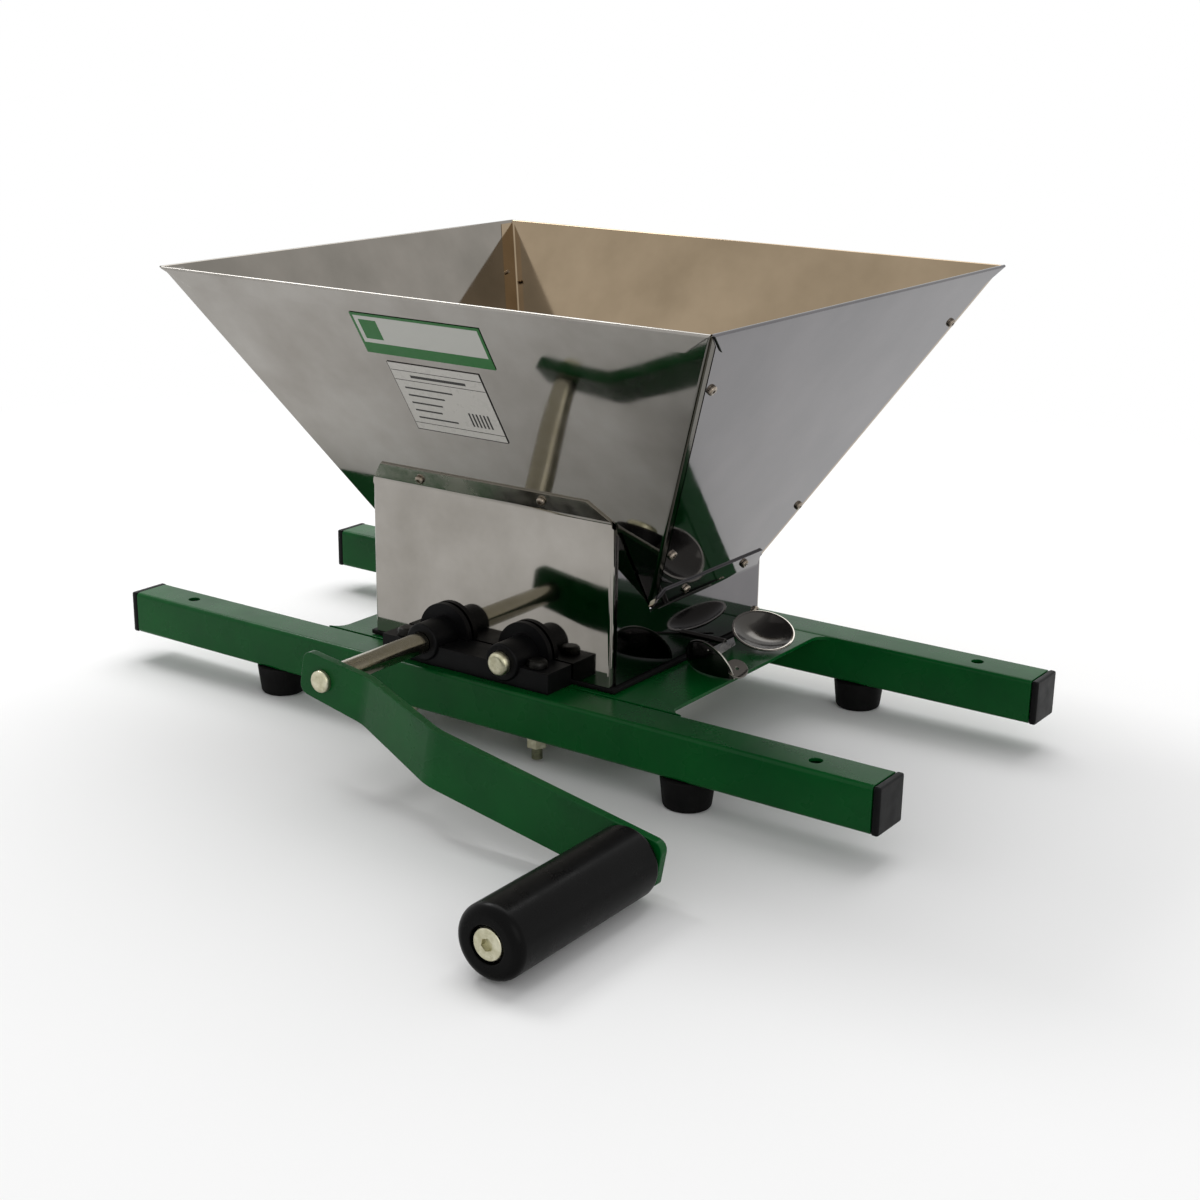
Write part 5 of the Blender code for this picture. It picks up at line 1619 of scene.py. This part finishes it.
@dataclass
class Latch:
    """Pull latch: a pin with a stamped finger piece of two dished leaves."""

    back: float = 0.0135
    height: float = RAIL_TOP + 0.0084
    leaf_radius: float = 0.0168
    leaf_depth: float = 0.005
    leaf_lip: float = 0.0012
    leaf_sheet: float = 0.0009
    edge: float = 0.0003
    rear_leaf: tuple[float, float, float] = (0.104, 0.0423, 0.0489)
    rear_normal: tuple[float, float, float] = (0.275, -0.244, 0.928)
    front_leaf: tuple[float, float, float] = (0.1045, -0.0169, 0.0437)
    front_normal: tuple[float, float, float] = (0.222, 0.903, 0.366)
    front_foot: float = RAIL_TOP + 0.0008
    bar_corners: tuple[tuple[float, float, float], ...] = (
        (0.1135, -0.0205, 0.0545), (0.0983, 0.022, 0.0464),
        (0.1075, -0.0225, 0.0575), (0.0889, 0.0358, 0.0455))
    bar_thickness: float = SHEET
    bar_turn: float = 0.7
    pin_radius: float = 0.0018
    pin_inner: float = 0.0745
    pin_outer: float = 0.097
    pin_edge: float = 0.0004
    ear_radius: float = 0.0062
    ear_hole: float = 0.001
    ear_thickness: float = SHEET
    ear_edge: float = 0.0002
    ear_place: tuple[float, float, float] = (0.1215, -0.0145, 0.0475)
    ear_normal: tuple[float, float, float] = (0.45, -0.35, 0.82)

    def leaf(self) -> Object:
        """One dished leaf with its hollow up, its rim level with height 0.

        Returns:
            The leaf.
        """
        bowl = (self.leaf_radius ** 2 + self.leaf_depth ** 2) / 2 / self.leaf_depth
        rim = UP * (self.leaf_depth - bowl)
        bpy.ops.mesh.primitive_uv_sphere_add(segments=64, ring_count=96, radius=bowl)
        item = bpy.context.object
        with editing(item):
            bpy.ops.mesh.select_all(action="SELECT")
            bpy.ops.mesh.bisect(plane_co=rim, plane_no=UP, clear_outer=True)
            pick(item, Pick.EDGES, open_edge)
            extrude_edges([Vector()])
            scale = 1.0 + self.leaf_lip / self.leaf_radius
            bpy.ops.transform.resize(value=(scale, scale, 1.0), center_override=rim)
        item.location = -rim
        thicken(settle(item), self.leaf_sheet)
        soften(item, self.edge, angle=50.0)
        return item

    def ear(self) -> Object:
        """The front leaf's small ear, a round plate with a hole.

        Returns:
            The ear.
        """
        item = cylinder(self.ear_radius, -self.ear_thickness / 2, self.ear_thickness / 2,
                        sides=48)
        with editing(item):
            bore(item, self.ear_radius - self.ear_hole)
        soften(item, self.ear_edge)
        return item

    def build_leaves(self) -> None:
        """Build both leaves, the front one cut off above the rail."""
        pattern = self.leaf()
        for name, seat, hollow in (("rear", self.rear_leaf, self.rear_normal),
                                   ("front", self.front_leaf, self.front_normal)):
            leaf = copy_to(pattern, at(*seat) @ facing(hollow) @ at(0.0, 0.0, self.leaf_depth / 2))
            if name == "front":
                keep_above(leaf, self.front_foot)
            # Each leaf takes the dark sheet, painted shade; its rim keeps the plain, lighter
            # sheet.
            finish_piece(leaf, f"latch_leaf_{name}", Paint.LEAF,
                         ("latch_grip",) if name == "rear" else (), Body.LATCH)
            hub = MIDDLE + Vector(seat) + Vector(hollow).normalized() * self.leaf_depth / 2
            paint_faces(leaf, Paint.SHEET, lambda face: (
                (face.center - hub).length > self.leaf_radius - SHEET / 10))
        bpy.data.objects.remove(pattern)

    def build(self) -> None:
        """Build the leaves, the bar between them, the ear and the pin."""
        self.build_leaves()
        bar = quad([MIDDLE + Vector(corner) for corner in self.bar_corners])
        thicken(bar, self.bar_thickness)
        soften(bar, self.edge)
        # The bar's flat faces take the leaves' dark sheet, painted shade; its edges keep the
        # plain, lighter sheet.
        finish_piece(bar, "latch_bar", Paint.LEAF, (), Body.LATCH)
        flat = max(bar.data.polygons, key=lambda face: face.area).normal.copy()
        paint_faces(bar, Paint.SHEET, lambda face: abs(face.normal.dot(flat)) < self.bar_turn)
        ear = place_at(self.ear(), at(*self.ear_place) @ facing(self.ear_normal))
        # The ear takes the darker side sheet: painted shade.
        finish_piece(ear, "latch_ear", Paint.SIDE_SHEET, (), Body.LATCH)
        pin = cylinder(self.pin_radius, self.pin_inner, self.pin_outer, sides=32)
        soften(pin, self.pin_edge)
        place_at(pin, at(0.0, self.back, self.height) @ ALONG_X)
        # The pin takes the leaves' dark sheet: painted shade, so that it hardly shows.
        finish_piece(pin, "latch_pin_turned", Paint.LEAF, ("latch_pin",), Body.LATCH)


# The studio


@dataclass(frozen=True)
class Lamp:
    """One white soft box over the machine."""

    name: str
    place: tuple[float, float, float]
    size: float
    power: float

    def build(self, target: Vector) -> None:
        """Add the lamp.

        Args:
            target: where it points.
        """
        data = bpy.data.lights.new(self.name, "AREA")
        data.shape = "SQUARE"
        data.size = self.size
        data.energy = self.power
        lamp = bpy.data.objects.new(self.name, data)
        bpy.context.scene.collection.objects.link(lamp)
        lamp.location = self.place
        lamp.rotation_euler = (target - Vector(self.place)).to_track_quat("-Z", "Y").to_euler()


@dataclass
class Studio:
    """Camera, pale floor, white surround and soft lamps."""

    eye: tuple[float, float, float] = (0.6168, -0.784365, 0.3868)
    right: tuple[float, float, float] = (0.8128, 0.5824, 0.0123)
    down: tuple[float, float, float] = (0.1913, -0.2469, -0.95)
    lens: float = 57.47
    sensor: float = 36.0
    shift: tuple[float, float] = (0.01467, 0.0265)
    target: tuple[float, float, float] = (0.0, 0.02, 0.1)
    lamps: tuple[Lamp, ...] = (
        Lamp("overhead", (-0.3, 0.9, 2.0), 1.8, 28.0),
        Lamp("left", (-1.3, 0.3, 1.75), 0.6, 13.0),
        Lamp("right", (1.8, -1.0, 0.9), 1.2, 6.0))
    surround: float = 0.55
    floor_radius: float = 9.0
    floor_grey: float = 0.85
    seen_fade: tuple[float, float] = (0.35, 1.0)
    mirrored_fade: tuple[float, float] = (1.2, 2.4)

    def build_camera(self) -> None:
        """Add the camera that the photograph was taken from."""
        data = bpy.data.cameras.new("camera")
        data.lens = self.lens
        data.sensor_width = self.sensor
        data.shift_x, data.shift_y = self.shift
        data.clip_start = 0.01
        camera = bpy.data.objects.new("camera", data)
        bpy.context.scene.collection.objects.link(camera)
        right = Vector(self.right).normalized()
        up = -Vector(self.down).normalized()
        back = right.cross(up).normalized()
        camera.matrix_world = basis(right, back.cross(right), back, Vector(self.eye))
        bpy.context.scene.camera = camera

    def build_world(self) -> None:
        """Set an even surround that shows white to the camera and in the metal."""
        world = bpy.data.worlds.new("surround")
        bpy.context.scene.world = world
        world.use_nodes = True
        tree = world.node_tree
        tree.nodes.clear()
        path = add_node(tree, "ShaderNodeLightPath").outputs
        seen = path["Is Camera Ray"]
        for ray in ("Is Glossy Ray", "Is Transmission Ray"):
            seen = add_node(tree, "ShaderNodeMath", {0: seen, 1: path[ray]},
                            operation="MAXIMUM").outputs[0]
        white = (1.0, 1.0, 1.0, 1.0)
        lighting, shown = (add_node(tree, "ShaderNodeBackground", {
            "Color": white, "Strength": strength}).outputs[0]
            for strength in (self.surround, 1.0))
        mixed_light = add_node(tree, "ShaderNodeMixShader", {0: seen, 1: lighting, 2: shown})
        add_node(tree, "ShaderNodeOutputWorld", {"Surface": mixed_light.outputs[0]})

    def build_floor(self) -> None:
        """Lay a pale floor that keeps the shadow and fades to white further out."""
        bpy.ops.mesh.primitive_circle_add(vertices=96, radius=self.floor_radius, fill_type="NGON")
        floor = bpy.context.object
        floor.name = "floor"
        made = bpy.data.materials.new("pale_floor")
        made.use_nodes = True
        tree = made.node_tree
        tree.nodes.clear()
        place = add_node(tree, "ShaderNodeTexCoord").outputs["Object"]
        far = add_node(tree, "ShaderNodeVectorMath", {0: place},
                       operation="LENGTH").outputs["Value"]
        path = add_node(tree, "ShaderNodeLightPath").outputs
        shares = []
        for ray, (start, end) in (("Is Camera Ray", self.seen_fade),
                                  ("Is Glossy Ray", self.mirrored_fade)):
            fade = add_node(tree, "ShaderNodeMapRange", {
                "Value": far, "From Min": start, "From Max": end}).outputs["Result"]
            shares.append(add_node(tree, "ShaderNodeMath", {0: path[ray], 1: fade},
                                   operation="MULTIPLY").outputs[0])
        factor = add_node(tree, "ShaderNodeMath", {0: shares[0], 1: shares[1]},
                          operation="MAXIMUM").outputs[0]
        matt = add_node(tree, "ShaderNodeBsdfDiffuse", {"Color": (*[self.floor_grey] * 3, 1.0)})
        white = add_node(tree, "ShaderNodeEmission", {
            "Color": (1.0, 1.0, 1.0, 1.0), "Strength": 1.0})
        blend = add_node(tree, "ShaderNodeMixShader", {
            0: factor, 1: matt.outputs[0], 2: white.outputs[0]})
        add_node(tree, "ShaderNodeOutputMaterial", {"Surface": blend.outputs[0]})
        floor.data.materials.append(made)

    def build(self) -> None:
        """Build the studio."""
        bpy.context.scene.view_settings.view_transform = "Standard"
        self.build_camera()
        self.build_world()
        self.build_floor()
        for lamp in self.lamps:
            lamp.build(Vector(self.target))


def main() -> None:
    """Load the frame, dress the machine and light it."""
    logging.basicConfig(level=logging.INFO, format="%(name)s: %(message)s")
    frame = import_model()
    Studio().build()
    for assembly in (Chassis(frame), Housing(frame), Hopper(), Bearings(), DriveTrain(frame),
                     Screws(frame), Crank(frame), Latch()):
        assembly.build()


if __name__ == "__main__":
    main()
